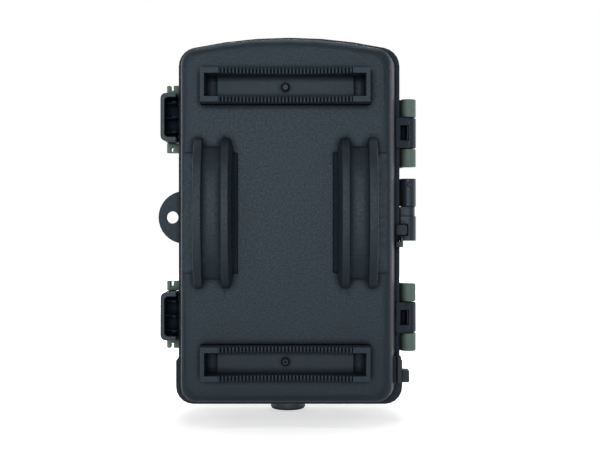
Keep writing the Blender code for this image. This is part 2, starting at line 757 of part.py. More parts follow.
def lock_ear(name, low, high, hole_r):
    """Half-round padlock ear on the left edge, with its hole."""
    centre = CASE_LEFT - LOCK_EAR_OUT + LOCK_EAR_R
    base = CASE_LEFT + RIM_STEP
    lean = math.degrees(math.acos((base - centre) / LOCK_EAR_R))
    ear = prism(name, "Y", [arc(centre, LOCK_EAR_Z, LOCK_EAR_R, lean, 360 - lean, 16)], low, high)
    x = CASE_LEFT - LOCK_HOLE_OUT
    start = (x, low - WALL, LOCK_EAR_Z)
    return cut(ear, rod(name + "_hole", start, (x, high + WALL, LOCK_EAR_Z), hole_r, 16))


def add_port(cover):
    half = PORT_PAD / 2
    low = (CASE_RIGHT - RIM_STEP - 2 * WALL, PORT_Y - half, PORT_Z - half)
    pad = box("port_pad", low, (PORT_PAD_OUT, PORT_Y + half, PORT_Z + half))
    join(cover, pad)
    hole = rod("port_hole", (0, PORT_Y, PORT_Z), (PORT_PAD_OUT + WALL, PORT_Y, PORT_Z), PORT_HOLE_R, 16)
    cut(cover, hole)


def gasket_ring(name, inset, width, low, high):
    """A ring that follows the case outline on the parting plane."""
    outer = [(p.x, p.z) for p in rear_ring(0.0, inset)]
    inner = [(p.x, p.z) for p in rear_ring(0.0, inset + width)]
    return prism(name, "Y", [outer, inner], low, high)


def rear_cover():
    cover = rear_shell()
    add_grip_seats(cover)
    add_guides(cover)
    ear_high = REAR_DEPTH - RIM_EDGE
    join(cover, lock_ear("rear_ear", ear_high - LOCK_EAR_THICK, ear_high, LOCK_HOLE_R))
    add_rear_knuckles(cover)
    add_port(cover)
    past = REAR_DEPTH + WALL
    cut(cover, gasket_ring("gasket_groove", GROOVE_INSET, GROOVE_WIDTH, REAR_DEPTH - GROOVE_DEPTH, past))
    return part(cover, "cover_plastic")


def seal_gasket():
    low = REAR_DEPTH - GROOVE_DEPTH + GAP
    ring = gasket_ring(
        "seal_gasket", GROOVE_INSET + GAP, GROOVE_WIDTH - 2 * GAP, low, REAR_DEPTH + GAP / 2
    )
    return part(ring, "rubber")


def tooth_cutter(name, z):
    """What is cleared above the rails: a shallow hollow, with flat-topped teeth along it."""
    pitch = TOOTH_SPAN / TOOTH_COUNT
    above = -GRIP_PROUD - WALL
    outline = [(-TOOTH_SPAN / 2, above), (TOOTH_SPAN / 2, above)]
    for i in range(TOOTH_COUNT):
        for share, depth in TOOTH_SHAPE:
            x = TOOTH_SPAN / 2 - (i + share) * pitch
            dip = GRIP_DIP * (1.0 - (2 * x / TOOTH_SPAN) ** 2)
            outline.append((x, -GRIP_PROUD + GRIP_TOOTH_DROP + dip + depth * TOOTH_DEPTH))
    return prism(name, "Z", [outline], z - GRIP_HEIGHT, z + GRIP_HEIGHT)


def tree_grip(word, z):
    """A toothed frame that bites into the bark, with a sunken floor, end pockets and one screw."""
    half_x = GRIP_LENGTH / 2
    half_z = GRIP_HEIGHT / 2
    base = GRIP_SINK + GRIP_FLOOR
    above = -GRIP_PROUD - WALL
    inner_x = half_x - GRIP_END_WALL
    inner_z = half_z - GRIP_RAIL
    grip = box(word + "_tree_grip", (-half_x, -GRIP_PROUD, z - half_z), (half_x, base, z + half_z))
    pocket_x = inner_x - GRIP_POCKET
    cut(
        grip,
        box(word + "_grip_well", (-inner_x, above, z - inner_z), (inner_x, GRIP_SINK, z + inner_z)),
        box(word + "_grip_pocket_l", (-inner_x, 0.0, z - inner_z), (-pocket_x, base + WALL, z + inner_z)),
        box(word + "_grip_pocket_r", (pocket_x, 0.0, z - inner_z), (inner_x, base + WALL, z + inner_z)),
        tooth_cutter(word + "_grip_teeth", z),
        rod(word + "_grip_eye", (0, -WALL, z), (0, base + WALL, z), SCREW_SHANK_R + PIN_PLAY, 12),
    )
    return part(grip, "cover_plastic")


def screw_profile(tip, seat, shank_r, head_r, head):
    """Profile of a pan head screw along Y, from its tip to the top of its head."""
    return [
        (0.0, tip),
        (shank_r, tip),
        (shank_r, seat),
        (head_r, seat),
        (head_r, seat - head + SCREW_EASE),
        (head_r - SCREW_EASE, seat - head),
        (0.0, seat - head),
    ]


def grip_screw(word, z):
    profile = screw_profile(TRAY_Y - GAP, GRIP_SINK - GAP, SCREW_SHANK_R, SCREW_HEAD_R, SCREW_HEAD)
    return part(turned(word + "_grip_screw", profile, along_y(0.0, 0.0, z), 16), "dark_steel")


def hinge_pin(word, z):
    rows = knuckle_rows(z)
    low = rows[2][0] + GAP
    high = rows[0][1] - GAP
    pin = rod(word + "_hinge_pin", (HINGE_X, HINGE_Y, low), (HINGE_X, HINGE_Y, high), HINGE_PIN_R, 12)
    return part(pin, "dark_steel")


def cell_place(index):
    """Middle of a cell and the way its nub points (1 is up)."""
    row, column = divmod(index, CELL_COLUMNS)
    x = TRAY_CENTRE[0] + (column - (CELL_COLUMNS - 1) / 2) * CELL_PITCH
    way = 1 if (row + column) % 2 == 0 else -1
    near = STRIP_THICK / 2 + GAP
    far = near + SPRING_LENGTH
    outward = 1 if row == 0 else -1
    nub_outward = way == outward
    start = far if nub_outward else near
    return x, TRAY_CENTRE[1] + outward * (start + CELL_LENGTH / 2), way, outward


def battery_cell(index):
    x, z, way, _ = cell_place(index)
    half = CELL_LENGTH / 2
    shoulder = half - CELL_NUB
    profile = [
        (0.0, half),
        (CELL_NUB_R, half),
        (CELL_NUB_R, shoulder),
        (CELL_R - CELL_SHOULDER, shoulder),
        (CELL_R, shoulder - CELL_SHOULDER),
        (CELL_R, -half + CELL_FOOT),
        (CELL_R - CELL_FOOT, -half),
        (0.0, -half),
    ]
    turn = Matrix.Identity(4) if way > 0 else Matrix.Rotation(math.pi, 4, "X")
    place = Matrix.Translation((x, CELL_Y, z)) @ turn
    return part(turned("battery_cell_%d" % (index + 1), profile, place, 16), "cell_sleeve")


def battery_tray():
    cx, cz = TRAY_CENTRE
    half_x = TRAY_WIDTH / 2
    half_z = TRAY_LENGTH / 2
    floor = TRAY_Y + TRAY_FLOOR
    outline = rounded_rectangle(cx, cz, TRAY_WIDTH, TRAY_LENGTH, TRAY_CORNER)
    tray = prism("battery_tray", "Y", [outline], TRAY_Y, TRAY_RIM_Y)
    inside = half_z - TRAY_WALL
    for column in range(CELL_COLUMNS):
        x = cell_place(column)[0]
        low = (x - BAY_WIDTH / 2, floor, cz - inside)
        cut(tray, box("bay_%d" % (column + 1), low, (x + BAY_WIDTH / 2, REAR_DEPTH, cz + inside)))
    slot = STRIP_THICK + 2 * GAP
    end = inside - slot / 2
    for name, z in (("top_slot", cz + end), ("mid_slot", cz), ("low_slot", cz - end)):
        low = (cx - half_x + TRAY_WALL, floor, z - slot / 2)
        cut(tray, box(name, low, (cx + half_x - TRAY_WALL, REAR_DEPTH, z + slot / 2)))
    return part(tray, "black_plastic")


def spring_points(x, z, way):
    """Points of a conical contact spring from its plate at z towards its cell."""
    count = int(SPRING_TURNS * SPRING_POINTS)
    points = [(x + SPRING_BASE_R, CELL_Y, z)]
    for i in range(count + 1):
        share = i / count
        angle = 2 * math.pi * SPRING_TURNS * share
        radius = SPRING_BASE_R + (SPRING_TIP_R - SPRING_BASE_R) * share
        rise = 3 * SPRING_WIRE_R + (SPRING_LENGTH - 5 * SPRING_WIRE_R) * share
        points.append((x + radius * math.cos(angle), CELL_Y + radius * math.sin(angle), z + way * rise))
    return points


def least_turn_gap(points):
    """Least clear distance between turns that are at least half a turn apart."""
    apart = SPRING_POINTS // 2
    pairs = [
        (Vector(points[i]) - Vector(points[j])).length
        for i in range(len(points))
        for j in range(i + apart, len(points))
    ]
    return min(pairs) - 2 * SPRING_WIRE_R


def contact_strip(word, z, ways):
    """A contact strip across the bays, with a spring for each cell whose flat end faces it."""
    cx = TRAY_CENTRE[0]
    half_x = TRAY_WIDTH / 2 - TRAY_WALL - GAP
    low = (cx - half_x, TRAY_Y + TRAY_FLOOR + GAP, z - STRIP_THICK / 2)
    strip = box(word + "_contact_strip", low, (cx + half_x, CELL_Y + CELL_R / 2, z + STRIP_THICK / 2))
    for index in range(2 * CELL_COLUMNS):
        x, cell_z, nub_way, _ = cell_place(index)
        way = 1 if cell_z > z else -1
        near = abs(cell_z - z) < CELL_LENGTH
        if way in ways and near and nub_way == way:
            points = spring_points(x, z, way)
            print(word, "contact spring least gap mm", round(least_turn_gap(points[1:]) / MM, 3))
            join(strip, tube("%s_spring_%d" % (word, index + 1), points, SPRING_WIRE_R))
    return part(strip, "steel")


def contact_strips():
    cz = TRAY_CENTRE[1]
    reach = ROW_LENGTH + STRIP_THICK / 2
    contact_strip("top", cz + reach, (-1,))
    contact_strip("middle", cz, (-1, 1))
    contact_strip("bottom", cz - reach, (1,))


def dc_jack():
    wall = CASE_RIGHT - RIM_STEP - 2 * WALL - GAP
    inner = TRAY_CENTRE[0] + TRAY_WIDTH / 2 + GAP
    half = PORT_PAD / 2 - GAP
    jack = box("dc_jack", (inner, PORT_Y - half, PORT_Z - half), (wall, PORT_Y + half, PORT_Z + half))
    bottom = (inner + WALL / 2, PORT_Y, PORT_Z)
    bore = rod("jack_bore", bottom, (wall + WALL, PORT_Y, PORT_Z), PORT_HOLE_R - GAP, 16)
    return part(cut(jack, bore), "black_plastic")


def dc_port_cover():
    """Rubber cover that flexes about its top edge, with a short plug and a pull tab."""
    near = PORT_PAD_OUT + GAP
    far = near + COVER_PLATE
    half = PORT_PAD / 2
    top = PORT_Z + half
    low = PORT_Z - half
    cover = box("dc_port_cover", (near, PORT_Y - half, low), (far, PORT_Y + half, top))
    tab_half = half - WALL
    tab_high = (far + COVER_TAB, PORT_Y + tab_half, low + COVER_TAB_HEIGHT)
    tab = box("port_tab", (near, PORT_Y - tab_half, low), tab_high)
    plug_end = (near - COVER_PLUG, PORT_Y, PORT_Z)
    plug = rod("port_plug", plug_end, (far, PORT_Y, PORT_Z), PORT_HOLE_R - 2 * GAP, 16)
    join(cover, tab, plug)
    pivot = ((near + far) / 2, PORT_Y, top)
    return part(cover, "rubber", pivot=pivot)


def conduit_outline(radius):
    """Section of the lower conduit: round outside, square towards the rim."""
    rim = CASE_RIGHT + GAP
    outline = arc(HINGE_X, HINGE_Y, radius, -90, 150, 12)
    return outline + [(rim, HINGE_Y - RIM_EDGE), (rim, HINGE_Y - radius)]


def conduit_lower():
    """Neck and block of the cable conduit, on the rear half."""
    low, high = CONDUIT_BLOCK
    rim = CASE_RIGHT + GAP
    block = prism("conduit_lower", "Z", [conduit_outline(KNUCKLE_R)], low, high)
    neck = prism("conduit_neck", "Z", [conduit_outline(CONDUIT_NECK_R)], low + WALL, CONDUIT_SPLIT - GAP)
    foot_wide, foot_high, foot_drop = CONDUIT_FOOT
    foot_y = RIM_BACK_Y - GAP - foot_high
    foot = box(
        "conduit_foot",
        (rim, foot_y, low - foot_drop),
        (rim + foot_wide, HINGE_Y - RIM_EDGE, low + WALL / 2),
    )
    foot_pad = box(
        "conduit_foot_pad",
        (CASE_RIGHT - RIM_STEP, foot_y, low - foot_drop),
        (rim + foot_wide / 2, foot_y + foot_high, low - GAP),
    )
    bore_low = (HINGE_X, HINGE_Y, low + WALL)
    bore = rod("conduit_bore", bore_low, (HINGE_X, HINGE_Y, CONDUIT_TOP), LEAD_R + GAP, 12)
    width, height = GROMMET_SIZE
    seat = box(
        "grommet_seat",
        (0.0, HINGE_Y - 2 * KNUCKLE_R, GROMMET_Z - height / 2 - GAP),
        (CASE_RIGHT + width, HINGE_Y - KNUCKLE_R + GROMMET_DEEP, GROMMET_Z + height / 2 + GAP),
    )
    join(block, neck, foot, foot_pad)
    cut(block, bore, seat)
    return part(block, "black_plastic")


def conduit_grommet():
    """Rubber pad that lies half on the rim and half in the conduit's block."""
    width, height = GROMMET_SIZE
    left = CASE_RIGHT - RIM_STEP
    right = CASE_RIGHT + width - 2 * GAP
    outline = rounded_rectangle((left + right) / 2, GROMMET_Z, right - left, height, GROMMET_CORNER)
    low = RIM_BACK_Y - GROMMET_PROUD
    return part(prism("conduit_grommet", "Y", [outline], low, RIM_BACK_Y - GAP), "rubber")


def power_lead():
    """The lead's run along the hinge axis, inside both halves of the conduit."""
    low = CONDUIT_BLOCK[0] + WALL + GAP
    high = CONDUIT_TOP - WALL
    count = 6
    points = [(HINGE_X, HINGE_Y, low + (high - low) * i / count) for i in range(count + 1)]
    return part(tube("power_lead", points, LEAD_R), "rubber")


def conduit_upper(front):
    """Upper barrel of the conduit, on the front half, over the end of the lead."""
    base = (HINGE_Y + RIM_EDGE, HINGE_Y + 3 * KNUCKLE_R / 2)
    outline = arc(HINGE_X, HINGE_Y, KNUCKLE_R, -160, 100, 14)
    outline += [(CASE_RIGHT + GAP, base[1]), (CASE_RIGHT + GAP, base[0])]
    barrel = prism("conduit_upper", "Z", [outline], CONDUIT_SPLIT, CONDUIT_TOP)
    bore_top = CONDUIT_TOP - WALL + GAP
    bore = rod("upper_bore", (HINGE_X, HINGE_Y, 0.0), (HINGE_X, HINGE_Y, bore_top), LEAD_R + GAP, 12)
    return part(cut(barrel, bore), "black_plastic", front)


def front_shell():
    edge = FRONT_FACE_Y - FRONT_FILLET
    rings = [
        front_ring(FRONT_RIM_Y, 0.0, CHIN_FLARE),
        front_ring(FRONT_RIM_Y + FRONT_STRAIGHT, 0.0, CHIN_FLARE),
        front_ring(FRONT_RIM_Y + FRONT_STRAIGHT + RIM_STEP, RIM_STEP / 2),
    ]
    for angle in (0, 22.5, 45, 67.5, 90):
        turn = math.radians(angle)
        inset = FRONT_DRAFT + FRONT_FILLET * (1.0 - math.cos(turn))
        rings.append(front_ring(edge + FRONT_FILLET * math.sin(turn), inset))
    shell = loft("front_housing", rings)
    hollow = [
        front_ring(FRONT_RIM_Y - WALL, FRONT_RIM_WALL, hollow=True),
        front_ring(FRONT_RIM_Y + FRONT_STRAIGHT, FRONT_RIM_WALL, hollow=True),
        front_ring(edge, FRONT_DRAFT + FRONT_WALL, hollow=True),
        front_ring(INNER_FACE_Y, FRONT_DRAFT + FRONT_WALL + FRONT_FILLET / 2, hollow=True),
    ]
    return cut(shell, loft("front_hollow", hollow))


def latch_ear(word, z_near, outward, slot_open):
    """An ear for one end of a latch pin, cored from behind."""
    x = LATCH_PIVOT_X
    y = LATCH_PIVOT_Y
    far = z_near + outward * EAR_LENGTH
    base = CASE_LEFT + RIM_STEP
    outline = arc(x, y, LATCH_BARREL_R, 90, 270, 8)
    outline += [(base, y - LATCH_BARREL_R), (base, y + LATCH_BARREL_R)]
    ear = prism(word, "Z", [outline], min(z_near, far), max(z_near, far))
    end = far + outward * WALL if slot_open else far - outward * GAP
    zs = sorted((far - outward * EAR_SLOT_DEEP, end))
    slot_low = (x - EAR_SLOT / 4, y - 2 * WALL, zs[0])
    slot = box(word + "_slot", slot_low, (x + 3 * EAR_SLOT / 4, y + 2 * WALL, zs[1]))
    start = (x, y, z_near - outward * WALL)
    end = (x, y, far - outward * EAR_SLOT_DEEP)
    return cut(ear, slot, rod(word + "_bore", start, end, LATCH_PIN_R + PIN_PLAY, 12))


def add_latch_ears(housing):
    for z, word, outer in zip(LATCH_Z, ("upper", "lower"), (1, -1)):
        for way, end in ((1, "top"), (-1, "low")):
            near = z + way * (LATCH_LENGTH + GAP) / 2
            join(housing, latch_ear("%s_ear_%s" % (word, end), near, way, way == outer))


def hinge_web(name, low, high):
    """Web on the front half that closes the gap behind a knuckle or the conduit."""
    base_x = CASE_RIGHT - RIM_STEP
    near = HINGE_Y + KNUCKLE_R + 2 * GAP
    outline = [(base_x, near), (HINGE_X, near), (base_x, HINGE_Y + 3 * KNUCKLE_R)]
    return prism(name, "Z", [outline], low, high)


def add_front_barrels(housing):
    for z, word in zip(HINGE_Z, ("upper", "lower")):
        upper, _, lower = knuckle_rows(z)
        for (low, high), end in ((upper, "top"), (lower, "low")):
            base = (HINGE_Y + RIM_EDGE + GAP, HINGE_Y + 3 * KNUCKLE_R)
            join(housing, hinge_arm("%s_barrel_%s" % (word, end), low, high, CASE_RIGHT - RIM_STEP, base))
            add_hinge_bore(housing, "%s_bore_%s" % (word, end), low, high)
        join(housing, hinge_web(word + "_barrel_web", lower[1] - WALL, upper[0] + WALL))
    join(housing, hinge_web("conduit_web", CONDUIT_BLOCK[0], CONDUIT_SPLIT - GAP))


def post_places():
    x = CASE_WIDTH / 2 - POST_INSET
    low = CASE_BOTTOM + POST_INSET
    high = CASE_TOP - POST_INSET - (CASE_WIDTH / 2) ** 2 / (2 * CROWN_RADIUS)
    return [(CASE_CENTRE_X + sx * x, z) for z in (low, high) for sx in (-1, 1)]


def add_panel_posts(housing):
    for number, (x, z) in enumerate(post_places(), 1):
        start = (x, PANEL_Y + PANEL_THICK + GAP, z)
        post = rod("post_%d" % number, start, (x, FRONT_FACE_Y - FRONT_WALL / 2, z), POST_R, 14)
        bore = rod("post_bore_%d" % number, (x, PANEL_Y, z), (x, BOARD_Y, z), PANEL_SHANK_R + GAP, 12)
        join(housing, post)
        cut(housing, bore)


def window_outline(margin):
    width = WINDOW_SIZE[0] + 2 * margin
    height = WINDOW_SIZE[1] + 2 * margin
    corner = max(WINDOW_CORNER + margin, WINDOW_CORNER / 3)
    return rounded_rectangle(CASE_CENTRE_X, WINDOW_Z, width, height, corner)


def front_housing(front):
    housing = front_shell()
    add_latch_ears(housing)
    add_front_barrels(housing)
    add_panel_posts(housing)
    ear_low = FRONT_RIM_Y + RIM_EDGE
    join(housing, lock_ear("front_ear", ear_low, ear_low + LOCK_EAR_THICK, LOCK_HOLE_R + LOCK_HOLE_EASE))
    x, y = BOSS_AT
    join(housing, rod("boss_pad", (x, y, BOSS_PAD_LOW), (x, y, CASE_BOTTOM + FRONT_WALL), BOSS_PAD_R, 28))
    cut(housing, rod("insert_bore", (x, y, BOSS_LOW), (x, y, CASE_BOTTOM + 4 * WALL), INSERT_R + GAP, 20))
    past = FRONT_FACE_Y + WALL
    cut(housing, prism("window_opening", "Y", [window_outline(-WINDOW_LEDGE)], BOARD_Y, past))
    pir_opening_r = PIR_R - 2 * PIR_SKIN
    for name, z, radius in (("lens", LENS_Z, LENS_BARREL_R + GAP), ("pir", PIR_Z, pir_opening_r)):
        start = (CASE_CENTRE_X, BOARD_Y + WALL, z)
        cut(housing, rod(name + "_opening", start, (CASE_CENTRE_X, past, z), radius, 28))
    return part(housing, "housing_plastic", front)


def bezel_outline():
    outline = case_outline(BEZEL_INSET, BEZEL_CORNER, BEZEL_CORNER)
    return [(CASE_CENTRE_X + x, z) for x, z in outline]


def front_bezel(front):
    """Dark face plate with a hood round the lens."""
    top = BEZEL_Y + BEZEL_THICK
    cx = CASE_CENTRE_X
    bezel = prism("front_bezel", "Y", [bezel_outline()], BEZEL_Y, top)
    hood_foot = (cx, BEZEL_Y + BEZEL_THICK / 2, LENS_Z)
    join(bezel, rod("lens_hood", hood_foot, (cx, top + LENS_HOOD, LENS_Z), LENS_HOOD_R, 32))
    through = top + 2 * LENS_HOOD
    cut(
        bezel,
        prism("bezel_window", "Y", [window_outline(GAP)], BEZEL_Y - WALL, top + WALL),
        rod("bezel_lens", (cx, BEZEL_Y - WALL, LENS_Z), (cx, through, LENS_Z), LENS_MOUTH_R, 32),
        rod("bezel_pir", (cx, BEZEL_Y - WALL, PIR_Z), (cx, through, PIR_Z), PIR_R + GAP, 32),
    )
    x = cx + STATUS_AT[0]
    z = STATUS_AT[1]
    cut(bezel, rod("bezel_status", (x, BEZEL_Y - WALL, z), (x, top + WALL, z), STATUS_R + GAP, 12))
    return part(bezel, "black_plastic", front)


def ir_window(front):
    pane = prism("ir_window", "Y", [window_outline(0.0)], BEZEL_Y, BEZEL_Y + WINDOW_THICK)
    return part(pane, "dark_glass", front)


def led_places():
    columns, rows = LED_GRID
    for column in range(columns):
        for row in range(rows):
            x = CASE_CENTRE_X + (column - (columns - 1) / 2) * LED_PITCH
            yield x, WINDOW_Z + (row - (rows - 1) / 2) * LED_PITCH


def ir_led_board(front):
    """Board whose front carries rows of emitters."""
    face = INNER_FACE_Y - GAP
    board = prism("ir_led_board", "Y", [window_outline(LED_BOARD_MARGIN)], face - BOARD_THICK, face)
    outlines = [rounded_rectangle(x, z, LED_SIZE, LED_SIZE, LED_SIZE / 4, 1) for x, z in led_places()]
    join(board, prism("emitters", "Y", outlines, face - BOARD_THICK / 2, face + LED_HEIGHT))
    return part(board, "circuit_board", front)


def lens_barrel(front):
    """Lens tube that stands on the main board and ends just inside the bezel's mouth."""
    low = BOARD_Y + BOARD_THICK + GAP
    high = FRONT_FACE_Y - GAP
    seat = high - GLASS_SEAT
    profile = [
        (GLASS_R + GAP, high),
        (LENS_BARREL_R, high),
        (LENS_BARREL_R, low),
        (LENS_BORE_R, low),
        (LENS_BORE_R, seat),
        (GLASS_R + GAP, seat),
    ]
    barrel = turned("lens_barrel", profile, along_y(CASE_CENTRE_X, 0.0, LENS_Z), 24)
    return part(barrel, "black_plastic", front)


def dome_profile(radius, base, rise):
    """Quarter of an ellipse from its crown on the axis out to its edge."""
    turns = [math.pi / 2 * i / DOME_STEPS for i in range(DOME_STEPS + 1)]
    return [(radius * math.sin(turn), base + rise * math.cos(turn)) for turn in turns]


def lens_glass(front):
    low = FRONT_FACE_Y - GLASS_SEAT
    profile = dome_profile(GLASS_R, low + GLASS_EDGE, GLASS_RISE) + [(GLASS_R, low), (0.0, low)]
    glass = turned("lens_glass", profile, along_y(CASE_CENTRE_X, 0.0, LENS_Z), 20)
    return part(glass, "clear_glass", front)


def pir_lens(front):
    """Faceted milky dome over the motion sensor, open behind."""
    skin = PIR_R - PIR_SKIN
    outer = dome_profile(PIR_R, PIR_LIFT, PIR_RISE)
    inner = dome_profile(skin, PIR_LIFT, PIR_RISE - PIR_SKIN)
    profile = outer + [(PIR_R, 0.0), (skin, 0.0)] + inner[::-1]
    dome = turned("pir_lens", profile, along_y(CASE_CENTRE_X, BEZEL_Y, PIR_Z), 20)
    return part(dome, "milky_plastic", front)


def can(name, x, low, high, z, radius, material, front):
    """A small round can or lens with an eased front edge."""
    ease = min(CAN_EASE, radius / 3)
    profile = [(0.0, high), (radius - ease, high), (radius, high - ease), (radius, low), (0.0, low)]
    return part(turned(name, profile, along_y(x, 0.0, z), 18), material, front)


def panel_openings():
    """Outlines of the openings for the screen, the controls, the card and the port."""
    cx = CASE_CENTRE_X
    fit = 2 * GAP
    width, height = SCREEN_SIZE
    outlines = [rounded_rectangle(cx, SCREEN_Z, width + fit, height + fit, SCREEN_CORNER + GAP)]
    width, height = BUTTON_SIZE
    for x, z in button_places():
        outlines.append(rounded_rectangle(x, z, width + fit, height + fit, BUTTON_CORNER + GAP))
    x, z = SWITCH_AT
    width = SWITCH_KNOB[0] + SWITCH_TRAVEL + fit
    outlines.append(rounded_rectangle(cx + x, z, width, SWITCH_KNOB[1] + fit, SWITCH_CORNER))
    width = CARD_SIZE[0] + 2 * WELL_MARGIN
    middle = (WELL_TOP + WELL_LOW) / 2
    outlines.append(rounded_rectangle(cx + CARD_X, middle, width, WELL_TOP - WELL_LOW, WELL_CORNER))
    x, z = USB_AT
    outlines.append(rounded_rectangle(cx + x, z, USB_SIZE[0] + fit, USB_SIZE[1] + fit, USB_SKIN))
    return outlines


def inner_panel(front):
    """Panel that closes the front half and carries the main board."""
    near = PANEL_Y - WALL
    far = PANEL_Y + PANEL_THICK
    outline = [(p.x, p.z) for p in front_ring(0.0, FRONT_RIM_WALL + GAP, hollow=True)]
    panel = prism("inner_panel", "Y", [outline], PANEL_Y, far)
    for number, (x, z) in enumerate(board_posts(), 1):
        start = (x, PANEL_Y + PANEL_THICK / 2, z)
        join(panel, rod("board_post_%d" % number, start, (x, BOARD_Y - GAP, z), BOARD_POST_R, 12))
    for number, opening in enumerate(panel_openings(), 1):
        cut(panel, prism("panel_opening_%d" % number, "Y", [opening], near, far + WALL))
    hole_r = PANEL_SHANK_R + GAP
    for number, (x, z) in enumerate(post_places(), 1):
        cut(panel, rod("panel_hole_%d" % number, (x, near, z), (x, far + WALL, z), hole_r, 12))
    return part(panel, "black_plastic", front)


def board_posts():
    reach = BOARD_SIZE[0] / 2 - BOARD_POST_INSET
    return [(CASE_CENTRE_X + side * reach, z) for z in BOARD_POST_Z for side in (-1, 1)]


def panel_screw(number, x, z, front):
    seat = PANEL_Y - GAP
    profile = screw_profile(BOARD_Y - WALL, seat, PANEL_SHANK_R, PANEL_SCREW_R, PANEL_SCREW_HEAD)
    return part(turned("panel_screw_%d" % number, profile, along_y(x, 0.0, z), 14), "steel", front)


def screen_window(front):
    width, height = SCREEN_SIZE
    outline = rounded_rectangle(CASE_CENTRE_X, SCREEN_Z, width, height, SCREEN_CORNER)
    pane = prism("screen_window", "Y", [outline], PANEL_Y + GAP, PANEL_Y + PANEL_THICK)
    return part(pane, "clear_glass", front)


def lcd_panel(front):
    width = SCREEN_SIZE[0] + 2 * LCD_MARGIN
    height = SCREEN_SIZE[1] + 2 * LCD_MARGIN
    outline = rounded_rectangle(CASE_CENTRE_X, SCREEN_Z, width, height, SCREEN_CORNER)
    low = PANEL_Y + PANEL_THICK + GAP
    return part(prism("lcd_panel", "Y", [outline], low, low + LCD_THICK), "black_plastic", front)


def main_board(front):
    width, height = BOARD_SIZE
    outline = rounded_rectangle(CASE_CENTRE_X, BOARD_Z, width, height, BOARD_CORNER)
    board = prism("main_board", "Y", [outline], BOARD_Y, BOARD_Y + BOARD_THICK)
    return part(board, "circuit_board", front)


def image_sensor(front):
    half = SENSOR_SIZE / 2
    low = BOARD_Y + BOARD_THICK + GAP
    sensor = box(
        "image_sensor",
        (CASE_CENTRE_X - half, low, LENS_Z - half),
        (CASE_CENTRE_X + half, low + SENSOR_THICK, LENS_Z + half),
    )
    return part(sensor, "dark_glass", front)


def button_places():
    cx = CASE_CENTRE_X
    return [
        (cx, BUTTON_Z + BUTTON_ROW),
        (cx, BUTTON_Z - BUTTON_ROW),
        (cx - BUTTON_PITCH, BUTTON_Z),
        (cx + BUTTON_PITCH, BUTTON_Z),
        (cx, BUTTON_Z),
    ]


def button(name, x, z, front):
    """A key cap with a flange behind the panel that keeps it in."""
    width, height = BUTTON_SIZE
    low = PANEL_Y - BUTTON_PROUD
    back = PANEL_Y + PANEL_THICK + GAP
    far = back + BUTTON_FLANGE
    outline = rounded_rectangle(x, z, width, height, BUTTON_CORNER)
    cap = prism(name, "Y", [outline], low, far - BUTTON_FLANGE / 2)
    wider = 2 * BUTTON_OVERHANG
    flange = rounded_rectangle(x, z, width + wider, height + wider, BUTTON_CORNER + BUTTON_OVERHANG)
    join(cap, prism(name + "_flange", "Y", [flange], back, far))
    return part(cap, "button_plastic", front, (x, PANEL_Y, z))


def mode_switch(front):
    """Slide knob, at the left end of its slot, with a carrier plate behind the panel."""
    x = CASE_CENTRE_X + SWITCH_AT[0] - SWITCH_TRAVEL / 2
    z = SWITCH_AT[1]
    half_x = SWITCH_KNOB[0] / 2
    half_z = SWITCH_KNOB[1] / 2
    side, thick, over = SWITCH_CARRIER
    back = PANEL_Y + PANEL_THICK + GAP
    knob_high = (x + half_x, back + thick / 2, z + half_z)
    knob = box("mode_switch", (x - half_x, PANEL_Y - SWITCH_PROUD, z - half_z), knob_high)
    carrier = box(
        "switch_carrier",
        (x - half_x - side, back, z - half_z - over),
        (x + half_x + side, back + thick, z + half_z + over),
    )
    return part(join(knob, carrier), "button_plastic", front, (x, PANEL_Y, z))


def card_box(margin, low, high):
    """Corners of the card's space, widened by margin, between two heights."""
    x = CASE_CENTRE_X + CARD_X
    y = PANEL_Y + PANEL_THICK + CARD_BEHIND
    half = CARD_SIZE[0] / 2 + margin
    return (x - half, y - margin, low), (x + half, y + CARD_SIZE[1] + margin, high)


def sd_card(front):
    low, high = card_box(0.0, CARD_LOW, CARD_LOW + CARD_SIZE[2])
    card = box("sd_card", low, high)
    notch = box(
        "card_notch",
        (high[0] - CARD_NOTCH[0], low[1] - WALL, high[2] - CARD_NOTCH[1]),
        (high[0] + WALL, high[1] + WALL, high[2] + WALL),
    )
    pivot = (CASE_CENTRE_X + CARD_X, (low[1] + high[1]) / 2, low[2])
    return part(cut(card, notch), "card_plastic", front, pivot)


def sd_socket(front):
    top = CARD_LOW + CARD_SIZE[2] + CARD_PUSH + GAP
    low, high = card_box(GAP + CARD_SOCKET_WALL, WELL_TOP + GAP, top + WALL / 2)
    slot = box("card_slot", *card_box(GAP, WELL_TOP - WALL, top))
    return part(cut(box("sd_socket", low, high), slot), "steel", front)


def usb_port(front):
    x = CASE_CENTRE_X + USB_AT[0]
    z = USB_AT[1]
    half_x = USB_SIZE[0] / 2
    half_z = USB_SIZE[1] / 2
    near = PANEL_Y + GAP
    far = near + USB_LONG
    shell = box("usb_port", (x - half_x, near, z - half_z), (x + half_x, far, z + half_z))
    half_x -= USB_SKIN
    half_z -= USB_SKIN
    mouth = box("usb_mouth", (x - half_x, near - WALL, z - half_z), (x + half_x, far - WALL, z + half_z))
    return part(cut(shell, mouth), "steel", front)


def tripod_boss(front):
    x, y = BOSS_AT
    high = BOSS_PAD_LOW - GAP
    bore = INSERT_R + GAP
    profile = [
        (bore, high),
        (BOSS_R, high),
        (BOSS_R, BOSS_LOW + BOSS_EDGE),
        (BOSS_R - 0.3 * BOSS_EDGE, BOSS_LOW + 0.3 * BOSS_EDGE),
        (BOSS_R - BOSS_EDGE, BOSS_LOW),
        (bore, BOSS_LOW),
    ]
    boss = turned("tripod_boss", profile, Matrix.Translation((x, y, 0.0)), 24)
    return part(boss, "black_plastic", front)


